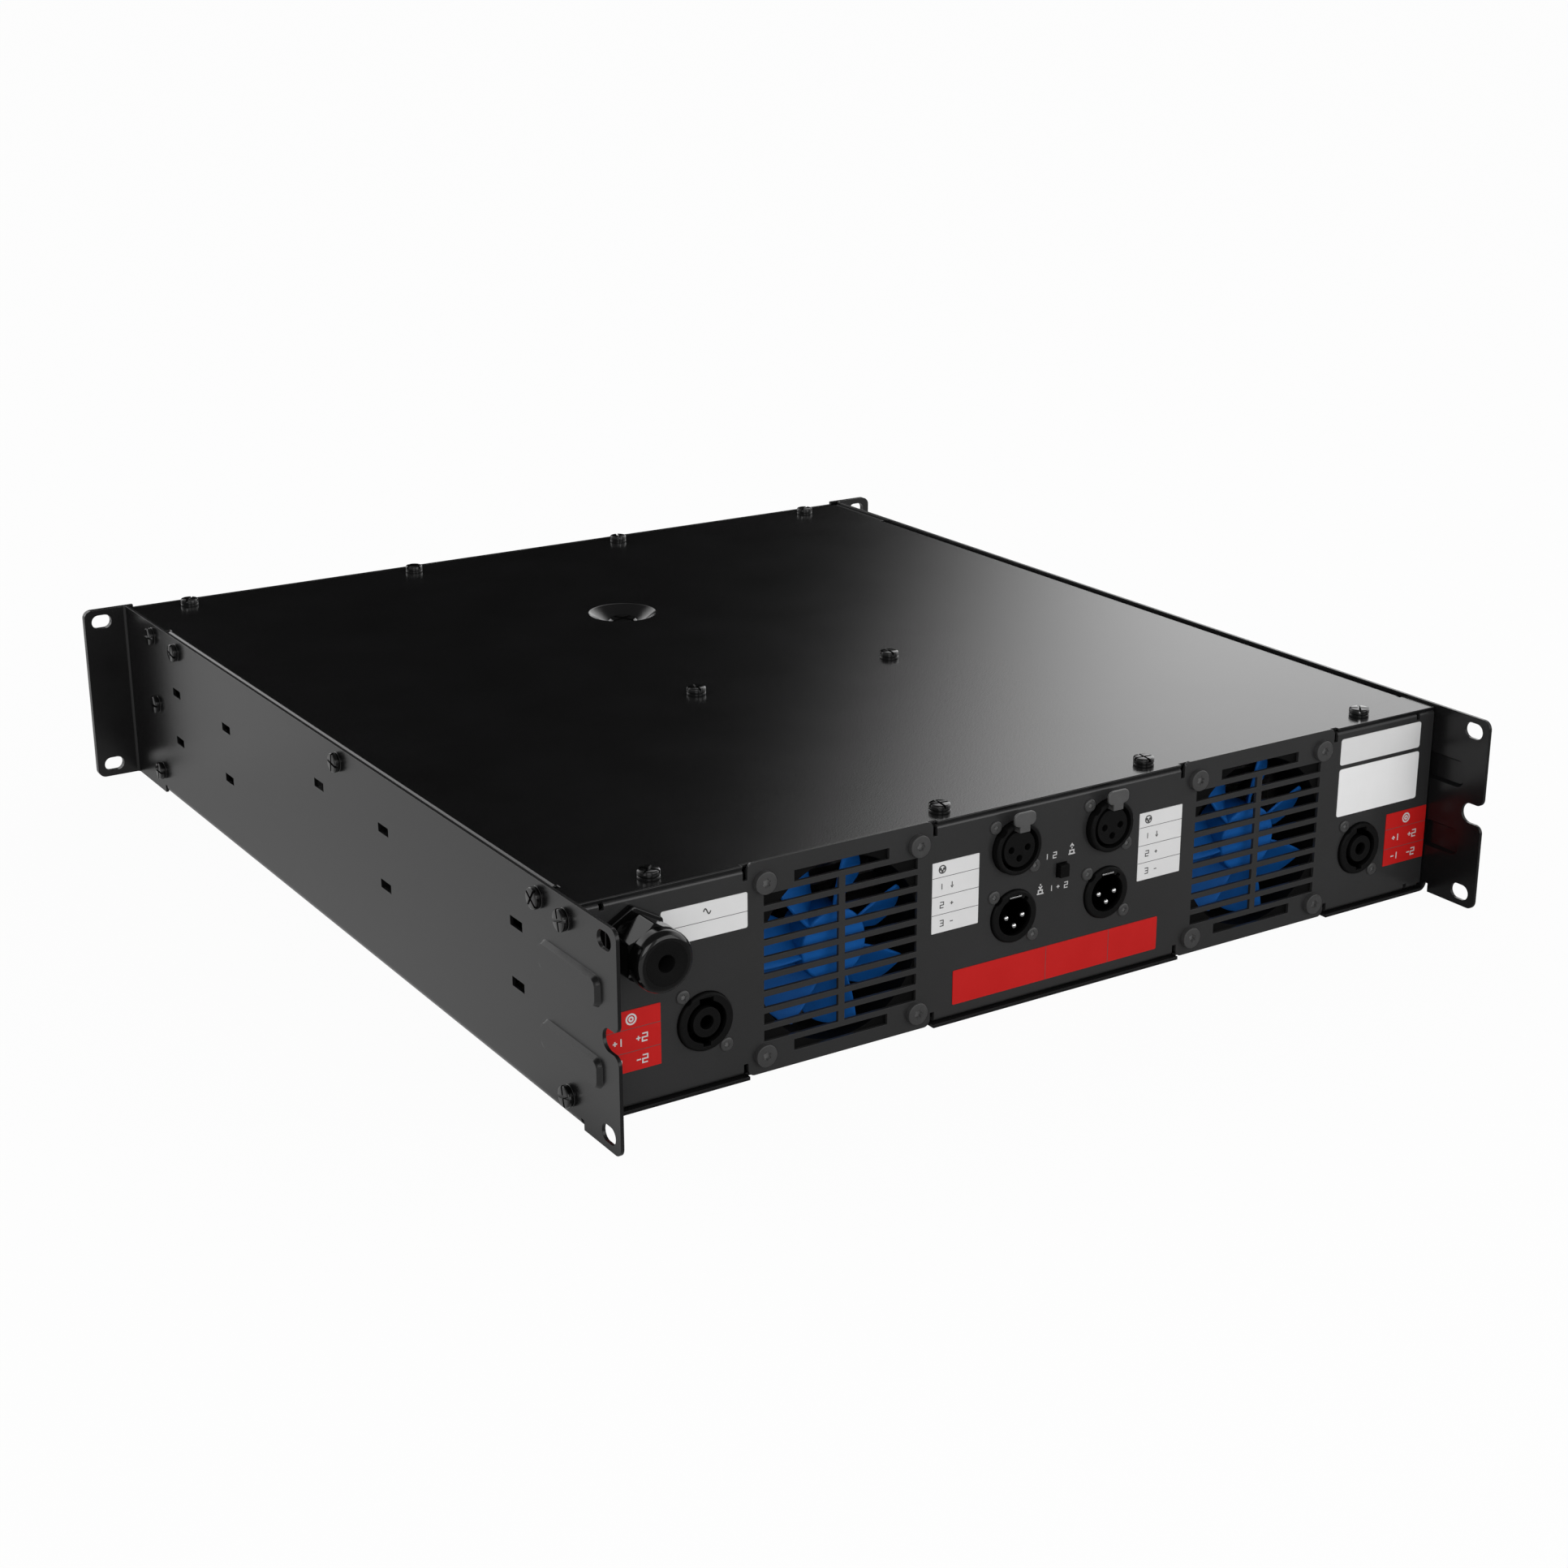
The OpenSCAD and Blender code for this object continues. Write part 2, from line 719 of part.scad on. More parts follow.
module fan_screws() {
    recess = 4;
    color([0.5, 0.5, 0.5]) for (x = [fan_left_x, fan_right_x]) facing_rear(x, fan_z, rear_d)
        square_spots(fan_pitch) difference() {
            union() {
                cylinder(d = fan_screw_head, h = fan_screw_high - 0.4);
                translate([0, 0, fan_screw_high - 0.4])
                    cylinder(d1 = fan_screw_head, d2 = fan_screw_head - 0.8, h = 0.4);
                translate([0, 0, -12]) cylinder(d = 4, h = 12.1);
            }
            translate([0, 0, fan_screw_high - 1.4]) cylinder(d = recess, h = 2, $fn = 6);
        }
}

module small_screw() {
    difference() {
        union() {
            cylinder(d = small_head, h = small_high - 0.5);
            translate([0, 0, small_high - 0.5]) cylinder(d1 = small_head, d2 = small_head - 1.4, h = 0.5);
            translate([0, 0, -4.5]) cylinder(d = 2.9, h = 4.6);
        }
        translate([0, 0, small_high - 0.6]) cylinder(d = 2.6, h = 1, $fn = 6);
    }
}

module connector_screws() {
    color([0.5, 0.5, 0.5]) {
        for (p = concat(female_spots, male_spots)) facing_rear(p[0], p[1], rear_d) for (s = [-1, 1])
            translate([-s * signal_screw, s * signal_screw, 0]) small_screw();
        for (p = speaker_spots) facing_rear(p[0], p[1], rear_d) for (s = [-1, 1])
            translate([-s * speaker_screw[0], s * speaker_screw[1], 0]) small_screw();
    }
}

module fascia_screws() {
    color([0.07, 0.07, 0.07]) for (p = fascia_screw_spots) facing_front(p[0], p[1], fascia_front_d)
        difference() {
            union() {
                cylinder(d1 = 5.6, d2 = 4.6, h = 1.6);
                translate([0, 0, -6]) cylinder(d = 2.9, h = 6.1);
            }
            translate([0, 0, 0.6]) cylinder(d = 2.9, h = 2, $fn = 6);
        }
}

// Signal connectors
// Ring through the panel and flange behind it, with the screw holes of the flange
module signal_shell(out, screw, ring, flange_w, flange_h) {
    deep = flange_front_d - signal_back_d;
    ring_long = rear_d + out - flange_front_d;
    difference() {
        union() {
            translate([0, 0, deep - flange_t]) linear_extrude(flange_t) rounded_rect(flange_w, flange_h, 3);
            translate([0, 0, 0]) cylinder(d = ring - 2, h = deep);
            translate([0, 0, deep - 0.1]) cylinder(d = ring, h = ring_long - 0.5);
            translate([0, 0, deep + ring_long - 0.6]) cylinder(d1 = ring, d2 = ring - 1.2, h = 0.6);
        }
        for (s = [-1, 1]) translate([-s * screw[0], s * screw[1], deep - flange_t - 4]) {
            cylinder(d = 3.1, h = flange_t + 5);
            translate([0, 0, flange_t + 4.05]) cylinder(d = small_head + 2, h = out + 4);
        }
    }
}

module pin_spots() {
    for (a = [0, 180, 270]) rotate(a) translate([pin_circle, 0, 0]) children();
}

module xlr_female(p) {
    deep = rear_d + female_out - signal_back_d;
    well = deep - 14;
    slot_w = latch_w + 0.8;
    pin_at = latch_pin_d - signal_back_d;
    color([0.09, 0.09, 0.09]) facing_rear(p[0], p[1], signal_back_d) {
        difference() {
            signal_shell(female_out, [signal_screw, signal_screw], signal_ring, 27, 27);
            translate([0, 0, well]) cylinder(d = 18.8, h = 20);
            translate([-slot_w / 2, 7.3, pin_at - 3]) cube([slot_w, 8, 24]);
            translate([-4.6, latch_pin_up, pin_at]) rotate([0, 90, 0]) cylinder(r = 1.05, h = 9.2);
        }
        difference() {
            translate([0, 0, well - 1]) cylinder(d = 15.6, h = deep - well + 0.6);
            pin_spots() translate([0, 0, well + 1]) cylinder(d = 2.9, h = 20);
            translate([-slot_w / 2, 7.3, well - 3]) cube([slot_w, 8, 30]);
        }
    }
}

module xlr_contacts() {
    long = 7.5;
    color([0.75, 0.68, 0.45]) for (p = female_spots) facing_rear(p[0], p[1], rear_d + female_out - 13)
        pin_spots() difference() {
            translate([0, 0, 0.05]) cylinder(d = 2.8, h = long);
            translate([0, 0, 2]) cylinder(d = 2.5, h = long);
        }
}

// Release paddle on a hinge pin, with its arm through the slot of the shell
module xlr_latch(p) {
    face = rear_d + 6.4 - latch_pin_d;
    plate = 1.2;
    color([0.5, 0.5, 0.5]) facing_rear(p[0], p[1] + latch_pin_up, latch_pin_d) {
        translate([-4.4, 0, 0]) rotate([0, 90, 0]) cylinder(r = 1, h = 8.8);
        translate([-latch_w / 2, -0.6, 0]) cube([latch_w, plate, face]);
        translate([-latch_w / 2, -0.6, face - plate]) cube([latch_w, 4, plate]);
        translate([0, 5.1, face - plate]) linear_extrude(plate) rounded_rect(10.8, 5.8, 2.4);
        translate([-latch_w / 2, 1.9, face - plate]) cube([latch_w, 2, plate]);
    }
}

module xlr_male(p) {
    deep = rear_d + male_out - signal_back_d;
    well = deep - 14;
    color([0.09, 0.09, 0.09]) facing_rear(p[0], p[1], signal_back_d) difference() {
        signal_shell(male_out, [signal_screw, signal_screw], signal_ring, 27, 27);
        translate([0, 0, well]) cylinder(d = 16.4, h = 20);
        rotate(-38) translate([-1, 7, well + 4]) cube([2, 2.6, 20]);
        pin_spots() translate([0, 0, -1]) cylinder(r = pin_r + 0.02, h = 30);
        translate([-3.2, 7.4, well + 3]) cube([6.4, 1.6, 30]);
    }
}

module xlr_pins() {
    long = rear_d + male_out + 0.2 - signal_back_d;
    color([0.8, 0.8, 0.8]) for (p = male_spots) facing_rear(p[0], p[1], signal_back_d) {
        pin_spots() {
            translate([0, 0, 0.2]) cylinder(r = pin_r, h = long - 0.2 - pin_r);
            translate([0, 0, long - pin_r]) sphere(r = pin_r);
        }
        translate([-3, 8.3, long - 10]) cube([6, 0.6, 10]);
    }
}

// Speaker sockets
module speaker_socket(p) {
    deep = rear_d + speaker_out - signal_back_d;
    well = deep - 15;
    color([0.08, 0.08, 0.08]) facing_rear(p[0], p[1], signal_back_d) {
        difference() {
            signal_shell(speaker_out, speaker_screw, speaker_ring, 26, 31);
            translate([0, 0, well]) cylinder(d = speaker_bore, h = 20);
            translate([-3, 0, well + 3]) cube([6, speaker_bore / 2 + 1.4, 20]);
            translate([-1.65, -speaker_bore / 2 - 1.3, well + 3]) cube([3.3, 4, 20]);
        }
        difference() {
            translate([0, 0, well - 1]) cylinder(d = speaker_core, h = deep - well + 1);
            translate([0, 0, well + 1]) cylinder(d = speaker_hole, h = 20);
        }
    }
}

module speaker_contacts() {
    color([0.75, 0.68, 0.45]) for (p = speaker_spots) facing_rear(p[0], p[1], signal_back_d - 7)
        for (k = [0:3]) rotate(45 + 90 * k) translate([6, -2.4, 0]) cube([0.8, 4.8, 7]);
}

// Mode switch
module mode_button() {
    stem = 3;
    color([0.1, 0.1, 0.1]) facing_rear(button_spot[0], button_spot[1], rear_d + button_out) {
        translate([-button_w / 2, -button_h / 2, -7]) cube([button_w, button_h, 7]);
        translate([-stem / 2, -stem / 2, -15]) cube([stem, stem, 8.1]);
    }
}

module mode_switch() {
    back = rear_d - 21.5;
    deep = 12;
    side = 9;
    color([0.2, 0.2, 0.22]) facing_rear(button_spot[0], button_spot[1], back) difference() {
        translate([-side / 2, -side / 2, 0]) cube([side, side, deep]);
        translate([-1.6, -1.6, 4]) cube([3.2, 3.2, deep]);
    }
}

// Cable gland
module hex_bar(flats, high) {
    rotate(30) cylinder(d = flats / cos(30), h = high, $fn = 6);
}

module gland_body() {
    bore = 13;
    neck = 15;
    color([0.04, 0.04, 0.04]) facing_rear(gland_x, gland_z, rear_d) difference() {
        union() {
            intersection() {
                hex_bar(gland_flats, gland_base);
                cylinder(d1 = gland_flats / cos(30) + 1, d2 = gland_flats / cos(30) - 1, h = gland_base);
            }
            translate([0, 0, -11]) cylinder(d = gland_thread, h = 12);
            cylinder(d = gland_thread, h = neck);
        }
        translate([0, 0, -12]) cylinder(d = bore, h = neck + 20);
    }
}

module gland_locknut() {
    color([0.05, 0.05, 0.05]) facing_rear(gland_x, gland_z, panel_in_d - gap - 5) difference() {
        hex_bar(gland_nut_flats, 5);
        translate([0, 0, -1]) cylinder(d = gland_thread + 0.04, h = 8);
    }
}

module gland_dome_nut() {
    low = 8;
    hex_high = 11.6;
    front = gland_front - low;
    hex_front_r = 11.75;
    groove_r = 11.2;
    groove_end = hex_high + 0.8;
    dome_r = 12.1;
    soft = 3.1;
    color([0.04, 0.04, 0.04]) facing_rear(gland_x, gland_z, rear_d + low) difference() {
        union() {
            intersection() {
                hex_bar(gland_nut_flats, hex_high);
                cylinder(r1 = hex_front_r + hex_high, r2 = hex_front_r, h = hex_high);
            }
            rotate_extrude() polygon(concat(
                [[0, hex_high - 3], [groove_r, hex_high - 3], [groove_r, groove_end], [dome_r, groove_end]],
                [for (a = [0:15:75]) [dome_r - soft + soft * cos(a), front - soft + soft * sin(a)]],
                [[dome_r - soft, front], [0, front]]
            ));
        }
        translate([0, 0, -1]) cylinder(d = gland_thread + 0.06, h = hex_high - 2);
        translate([0, 0, -2]) cylinder(d = gland_seal_dia + 0.1, h = front + 4);
    }
}

module gland_seal() {
    low = 16;
    color([0.17, 0.17, 0.17]) facing_rear(gland_x, gland_z, rear_d + low) difference() {
        cylinder(d = gland_seal_dia, h = gland_front - low - 0.2);
        translate([0, 0, -1]) cylinder(d = gland_hole, h = 14);
    }
}

// Labels, as thin plates on the rear panel
label_t = 0.25;

module label(x, z, r) {
    upright(rear_d, label_t) translate([(x[0] + x[1]) / 2, (z[0] + z[1]) / 2])
        rounded_rect(x[1] - x[0], z[1] - z[0], r);
}

module white_labels() {
    color([0.85, 0.85, 0.85]) {
        label([145.7, 183.3], [62.9, 77.3], 0.8);
        label([36.7, 59.7], [40.3, 70.4], 0.3);
        label([-69.7, -46.5], [40.3, 70.4], 0.3);
        label([-209.5, -160.7], [70.3, 82.4], 1.2);
    }
}

module red_labels() {
    color([0.7, 0.13, 0.14]) {
        label([184.1, 209.3], [16.35, 41.35], 0.3);
        label([-217.3, -192.2], [16.35, 41.35], 0.3);
        label([-58.7, 48.6], [7.05, 21.95], 0.6);
    }
}

module rating_plate() {
    color([0.8, 0.8, 0.8]) label([-209.7, -160.7], [46.2, 68.4], 1.2);
}

// Transformer stack
module ring(outer, inner, low, high) {
    translate([dish_x, at(dish_d), low]) difference() {
        cylinder(d = outer, h = high);
        translate([0, 0, -1]) cylinder(d = inner, h = high + 2);
    }
}

module transformer() {
    round_r = 12;
    color([0.55, 0.4, 0.12]) translate([dish_x, at(dish_d), toroid_low]) rotate_extrude($fn = 96)
        difference() {
            translate([toroid_hole / 2, 0]) square([(toroid_dia - toroid_hole) / 2, toroid_high]);
            for (z = [0, toroid_high - round_r]) difference() {
                translate([toroid_dia / 2 - round_r, z]) square([round_r + 1, round_r]);
                translate([toroid_dia / 2 - round_r, z == 0 ? round_r : z]) circle(round_r);
            }
        }
}

module transformer_pads() {
    color([0.1, 0.1, 0.1]) {
        ring(110, toroid_hole, sheet, pad_t);
        ring(110, toroid_hole, toroid_low + toroid_high, pad_t);
    }
}

module transformer_washer() {
    color([0.7, 0.7, 0.7]) ring(100, 2 * bolt_r + 1, washer_low, dish_floor - sheet - washer_low);
}

module transformer_bolt() {
    head = 3;
    color([0.07, 0.07, 0.07]) translate([dish_x, at(dish_d), dish_floor]) {
        difference() {
            union() {
                cylinder(d = 15, h = head - 0.8);
                translate([0, 0, head - 0.8]) cylinder(d1 = 15, d2 = 12.6, h = 0.8);
            }
            for (a = [20, 110]) rotate(a) translate([-9, -0.8, head - 1.4]) cube([18, 1.6, 2]);
        }
        translate([0, 0, sheet + 1 - dish_floor]) cylinder(r = bolt_r, h = dish_floor - sheet - 0.9);
    }
}

module transformer_nut() {
    color([0.7, 0.7, 0.7]) translate([dish_x, at(dish_d), sheet]) difference() {
        cylinder(d = 15, h = 8, $fn = 6);
        translate([0, 0, -1]) cylinder(r = bolt_r + 0.03, h = 12);
    }
}

// Heat sinks and boards
module heatsink(x, side) {
    high = sink_high - sink_low;
    step = (high - fin_t) / (fin_count - 1);
    color([0.75, 0.75, 0.76]) upright(sink_front_d, sink_back_d - sink_front_d)
        translate([x, sink_low]) mirror([side > 0 ? 0 : 1, 0]) {
            translate([sink_w / 2 - sink_base, 0]) square([sink_base, high]);
            for (k = [0:fin_count - 1])
                translate([-sink_w / 2, k * step]) square([sink_w - sink_base + 1, fin_t]);
        }
}

module output_transistors() {
    color([0.08, 0.08, 0.08]) for (q = [[fan_left_x, 0], [fan_right_x, 1]]) for (k = [0:power_count - 1])
        translate([q[0], at(sink_front_d + 22 + k * power_pitch), mid_z]) mirror([q[1], 0, 0]) {
            translate([sink_w / 2, -8, -10]) cube([5, 16, 20]);
            for (u = [-1:1]) translate([sink_w / 2 + 2, u * 5.4 - 0.4, -12]) {
                cube([0.8, 0.8, 2.5]);
                cube([amp_board_off - sink_w / 2 - 2, 0.8, 0.8]);
            }
        }
}

module amplifier_board(x, side) {
    parts_x = amp_board_off + board_t - 0.2;
    color([0.06, 0.3, 0.14]) translate([x, 0, 0]) mirror([side > 0 ? 0 : 1, 0, 0]) {
        block([amp_board_off, amp_board_off + board_t], [262, 446], [8, 80]);
        for (k = [0:3]) block([parts_x, amp_board_off + 12], [272 + 18 * k, 284 + 18 * k], [18, 46]);
        for (k = [0:1]) translate([parts_x, at(370 + 34 * k), 50]) rotate([0, 90, 0])
            cylinder(d = 26, h = 18);
        block([parts_x, amp_board_off + 17], [412, 438], [14, 30]);
    }
}

module supply_board() {
    color([0.06, 0.3, 0.14]) {
        block(supply_x, supply_d, [supply_z, supply_z + board_t]);
        for (k = [0:2])
            block([-40 + 26 * k, -22 + 26 * k], [268, 278], [supply_z + board_t - 0.2, supply_z + 14]);
    }
}

module filter_capacitors() {
    color([0.12, 0.14, 0.3]) for (x = [-26, 18]) for (k = [0:2])
        translate([x, at(306 + 37 * k), supply_z + board_t]) {
            cylinder(d = can_dia, h = can_high - 1);
            translate([0, 0, can_high - 1.1]) cylinder(d1 = can_dia, d2 = can_dia - 2, h = 1.1);
        }
}

module bridge_rectifier() {
    low = supply_z + board_t;
    color([0.1, 0.1, 0.1]) difference() {
        block([-18, 10], [412, 440], [low, low + 10]);
        translate([-4, at(426), low - 1]) cylinder(d = 5, h = 12);
    }
}

module input_board() {
    color([0.06, 0.3, 0.14]) {
        block([-45, 35], [signal_back_d - board_t - 0.1, signal_back_d - 0.1], [22, 84]);
        for (k = [0:2])
            block([-36 + 26 * k, -22 + 26 * k], [signal_back_d - 6, signal_back_d - board_t], [46, 58]);
    }
}

// Floor posts of the supply board, and the two pillars under the middle of the cover
module board_posts() {
    color([0.72, 0.72, 0.72]) {
        for (x = [supply_x[0] + 5, supply_x[1] - 5]) for (d = [supply_d[0] + 5, supply_d[1] - 5])
            translate([x, at(d), sheet]) cylinder(d = 6, h = supply_z - sheet, $fn = 6);
        for (x = post_x) translate([x, at(post_d), sheet]) difference() {
            cylinder(d = 8, h = cover_under - gap - sheet, $fn = 6);
            translate([0, 0, cover_under - 12]) cylinder(d = screw_shank + 0.1, h = 14);
        }
    }
}

module mains_terminals() {
    color([0.75, 0.72, 0.65]) difference() {
        block([184, 212], [396, 446], [sheet, sheet + 20]);
        for (k = [0:3]) translate([198, at(403 + 12 * k), sheet + 10]) cylinder(d = 6, h = 20);
    }
}

// Front controls
module level_knob(x) {
    grip = knob_dia / 2;
    skirt_long = 3;
    long = knob_reach - 0.7;
    color([0.07, 0.07, 0.07]) facing_front(x, mid_z, fascia_front_d - 0.7) difference() {
        union() {
            cylinder(r = grip, h = skirt_long);
            cylinder(r = grip - 2.5, h = long - 1);
            translate([0, 0, long - 1]) cylinder(r1 = grip - 2.5, r2 = grip - 3.5, h = 1);
            for (k = [0:17]) rotate(20 * k + 10) translate([grip - 2.7, -0.7, skirt_long - 0.1])
                cube([1, 1.4, long - skirt_long - 2]);
        }
        translate([0, 0, -1]) cylinder(r = 7, h = 5.5);
        cylinder(r = stem_r + 0.02, h = long - 3);
        translate([-0.6, grip - 6.5, long - 0.6]) cube([1.2, 10, 1]);
    }
}

module level_shaft(x) {
    color([0.75, 0.75, 0.75]) facing_front(x, mid_z, 4) cylinder(r = stem_r, h = knob_reach - 0.8);
}

module level_pots() {
    nut = 2;
    color([0.6, 0.6, 0.62]) for (s = [-1, 1]) facing_front(s * knob_x, mid_z, pot_deep + gap) difference() {
        union() {
            cylinder(r = pot_r, h = pot_deep);
            cylinder(r = bush_r, h = pot_deep + gap - fascia_front_d + nut + 0.3);
            translate([0, 0, pot_deep + gap - fascia_front_d]) cylinder(d = 11, h = nut, $fn = 6);
        }
        translate([0, 0, 4]) cylinder(r = stem_r + 0.05, h = 40);
    }
}

// Side view of the rocker in depth and height, with its front towards the user
module rocker_profile() {
    front = 4.6;
    rise = 1.5;
    polygon([
        [-1, -rocker_half], [-1, rocker_half], [-front - rise, rocker_half],
        [-front, 0], [-front - rise, -rocker_half]
    ]);
    circle(r = 2.6);
}

module power_rocker() {
    color([0.06, 0.06, 0.06]) translate([rocker_x - rocker_w / 2, at(rocker_pivot_d), mid_z]) {
        rotate([rocker_tilt, 0, 0]) rotate([90, 0, 90]) linear_extrude(rocker_w) rocker_profile();
        translate([-1.1, 0, 0]) rotate([0, 90, 0]) cylinder(r = 1.2, h = rocker_w + 2.2);
    }
}

module rocker_housing() {
    deep = 18;
    bezel = 1.6;
    color([0.06, 0.06, 0.06]) difference() {
        union() {
            upright(fascia_front_d, deep - fascia_front_d) rocker_shape(rocker_body);
            upright(fascia_front_d - bezel, bezel) translate([rocker_x, mid_z])
                rounded_rect(rocker_bezel[0], rocker_bezel[1], 1.5);
        }
        upright(fascia_front_d - bezel - 1, 12 - fascia_front_d + bezel) rocker_shape(rocker_well);
        translate([rocker_x - rocker_w / 2 - 1.2, at(rocker_pivot_d), mid_z]) rotate([0, 90, 0])
            cylinder(r = 1.25, h = rocker_w + 2.4);
    }
}

module indicator_leds() {
    color([0.2, 0.6, 0.25]) for (s = [-1, 1]) for (k = [-1:1])
        facing_front(s * led_x, mid_z + k * led_pitch, 6) {
            cylinder(r = led_r, h = 6 - fascia_front_d + 0.4);
            translate([0, 0, 6 - fascia_front_d + 0.4]) sphere(r = led_r);
            cylinder(r = led_r + 0.35, h = 5.5);
        }
}

module control_board() {
    color([0.06, 0.3, 0.14]) {
        block([-74, 74], [pot_deep + 0.2, pot_deep + 0.2 + board_t], [16, 73]);
        block([-20, 20], [pot_deep + board_t, pot_deep + 10], [20, 30]);
        for (s = [-1, 1]) for (k = [-1:1]) block(
            [s * led_x - 1.2, s * led_x + 1.2], [6, pot_deep + 0.3],
            [mid_z + k * led_pitch - 0.4, mid_z + k * led_pitch + 0.4]
        );
    }
}

chassis_tray();
top_cover();
rear_panel();
front_frame();
front_fascia();
fan_frame(fan_left_x);  // fan_frame_left
fan_frame(fan_right_x);  // fan_frame_right
fan_impeller(fan_left_x);  // fan_impeller_left
fan_impeller(fan_right_x);  // fan_impeller_right
fan_stators();
fan_screws();
xlr_female(female_spots[0]);  // xlr_female_left
xlr_female(female_spots[1]);  // xlr_female_right
xlr_latch(female_spots[0]);  // xlr_latch_left
xlr_latch(female_spots[1]);  // xlr_latch_right
xlr_contacts();
xlr_male(male_spots[0]);  // xlr_male_left
xlr_male(male_spots[1]);  // xlr_male_right
xlr_pins();
connector_screws();
speaker_socket(speaker_spots[0]);  // speaker_socket_left
speaker_socket(speaker_spots[1]);  // speaker_socket_right
speaker_contacts();
mode_button();
mode_switch();
gland_body();
gland_locknut();
gland_dome_nut();
gland_seal();
white_labels();
red_labels();
rating_plate();
cover_screws();
side_screws();
fascia_screws();
transformer();
transformer_pads();
transformer_washer();
transformer_bolt();
transformer_nut();
heatsink(fan_left_x, 1);  // heatsink_left
heatsink(fan_right_x, -1);  // heatsink_right
output_transistors();
amplifier_board(fan_left_x, 1);  // amplifier_board_left
amplifier_board(fan_right_x, -1);  // amplifier_board_right
supply_board();
filter_capacitors();
bridge_rectifier();
input_board();
board_posts();
mains_terminals();
level_knob(-knob_x);  // level_knob_left
level_knob(knob_x);  // level_knob_right
level_shaft(-knob_x);  // level_shaft_left
level_shaft(knob_x);  // level_shaft_right
level_pots();
power_rocker();
rocker_housing();
indicator_leds();
control_board();
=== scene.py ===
"""Dresses the solids of a two-unit rack power amplifier for rendering.

The frame is in metres: X runs across the rack, Y from the front to the rear, Z up. Sizes in the
classes are millimetres, and a depth is counted towards the rear from the back of the front ears.
"""
import json
import logging
import math
from collections.abc import Callable, Sequence
from dataclasses import dataclass, field, replace
from enum import Enum

import bmesh
import bpy
from bpy.types import Material, Mesh, Node, NodeSocket, NodeTree, Object
from mathutils import Matrix, Vector


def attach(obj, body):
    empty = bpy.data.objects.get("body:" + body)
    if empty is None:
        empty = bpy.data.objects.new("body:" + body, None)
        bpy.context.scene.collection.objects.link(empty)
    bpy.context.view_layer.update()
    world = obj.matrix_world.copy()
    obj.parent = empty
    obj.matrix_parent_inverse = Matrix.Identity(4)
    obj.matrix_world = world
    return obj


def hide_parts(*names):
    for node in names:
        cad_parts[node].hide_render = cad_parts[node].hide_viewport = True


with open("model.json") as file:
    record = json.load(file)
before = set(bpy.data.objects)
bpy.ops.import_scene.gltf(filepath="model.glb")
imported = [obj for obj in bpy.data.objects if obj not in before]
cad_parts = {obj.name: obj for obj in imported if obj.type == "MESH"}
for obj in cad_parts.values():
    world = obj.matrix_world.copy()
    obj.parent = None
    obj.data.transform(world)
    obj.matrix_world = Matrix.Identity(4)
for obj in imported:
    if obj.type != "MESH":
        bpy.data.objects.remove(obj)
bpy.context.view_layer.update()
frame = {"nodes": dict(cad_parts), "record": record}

LOG = logging.getLogger("amplifier")
MM = 0.001
# Depth of the frame's origin, and of the outer face of the rear panel
MID_D = 248.0
REAR_D = 482.0
SIDES = ("left", "right")
SIGNS = (-1, 1)
# Place across of each fan, and the height of both
FAN_X = {"left": 102.5, "right": -113.4}
FAN_Z = 43.9
# Local points this close are one
TOUCH = 1e-5
Pair = tuple[float, float]
Triple = tuple[float, float, float]
Line = list[Pair]
Sockets = dict[str | int, object]
Colour = Triple


class Facing(Enum):
    """The way that a piece looks, by the axis that points out of its carrier."""

    REAR = "rear"
    FRONT = "front"
    LEFT = "left"
    RIGHT = "right"
    UP = "up"

    def axes(self) -> Matrix:
        """Return the turn whose local Z leaves the carrier and whose local Y is up or to the rear."""
        columns = {
            Facing.REAR: ((-1, 0, 0), (0, 0, 1), (0, 1, 0)),
            Facing.FRONT: ((1, 0, 0), (0, 0, 1), (0, -1, 0)),
            Facing.LEFT: ((0, 1, 0), (0, 0, 1), (1, 0, 0)),
            Facing.RIGHT: ((0, -1, 0), (0, 0, 1), (-1, 0, 0)),
            Facing.UP: ((1, 0, 0), (0, 1, 0), (0, 0, 1)),
        }[self]
        return Matrix(columns).transposed().to_4x4()

    def at(self, x: float, depth: float, z: float) -> Matrix:
        """Place a local frame in millimetres.

        Args:
            x: Place across the rack, in millimetres.
            depth: Place behind the front ears, in millimetres.
            z: Height above the floor, in millimetres.

        Returns:
            The matrix from local millimetres to metres of the frame.
        """
        place = Matrix.Translation(Vector((x, depth - MID_D, z)) * MM)
        return place @ self.axes() @ Matrix.Scale(MM, 4)


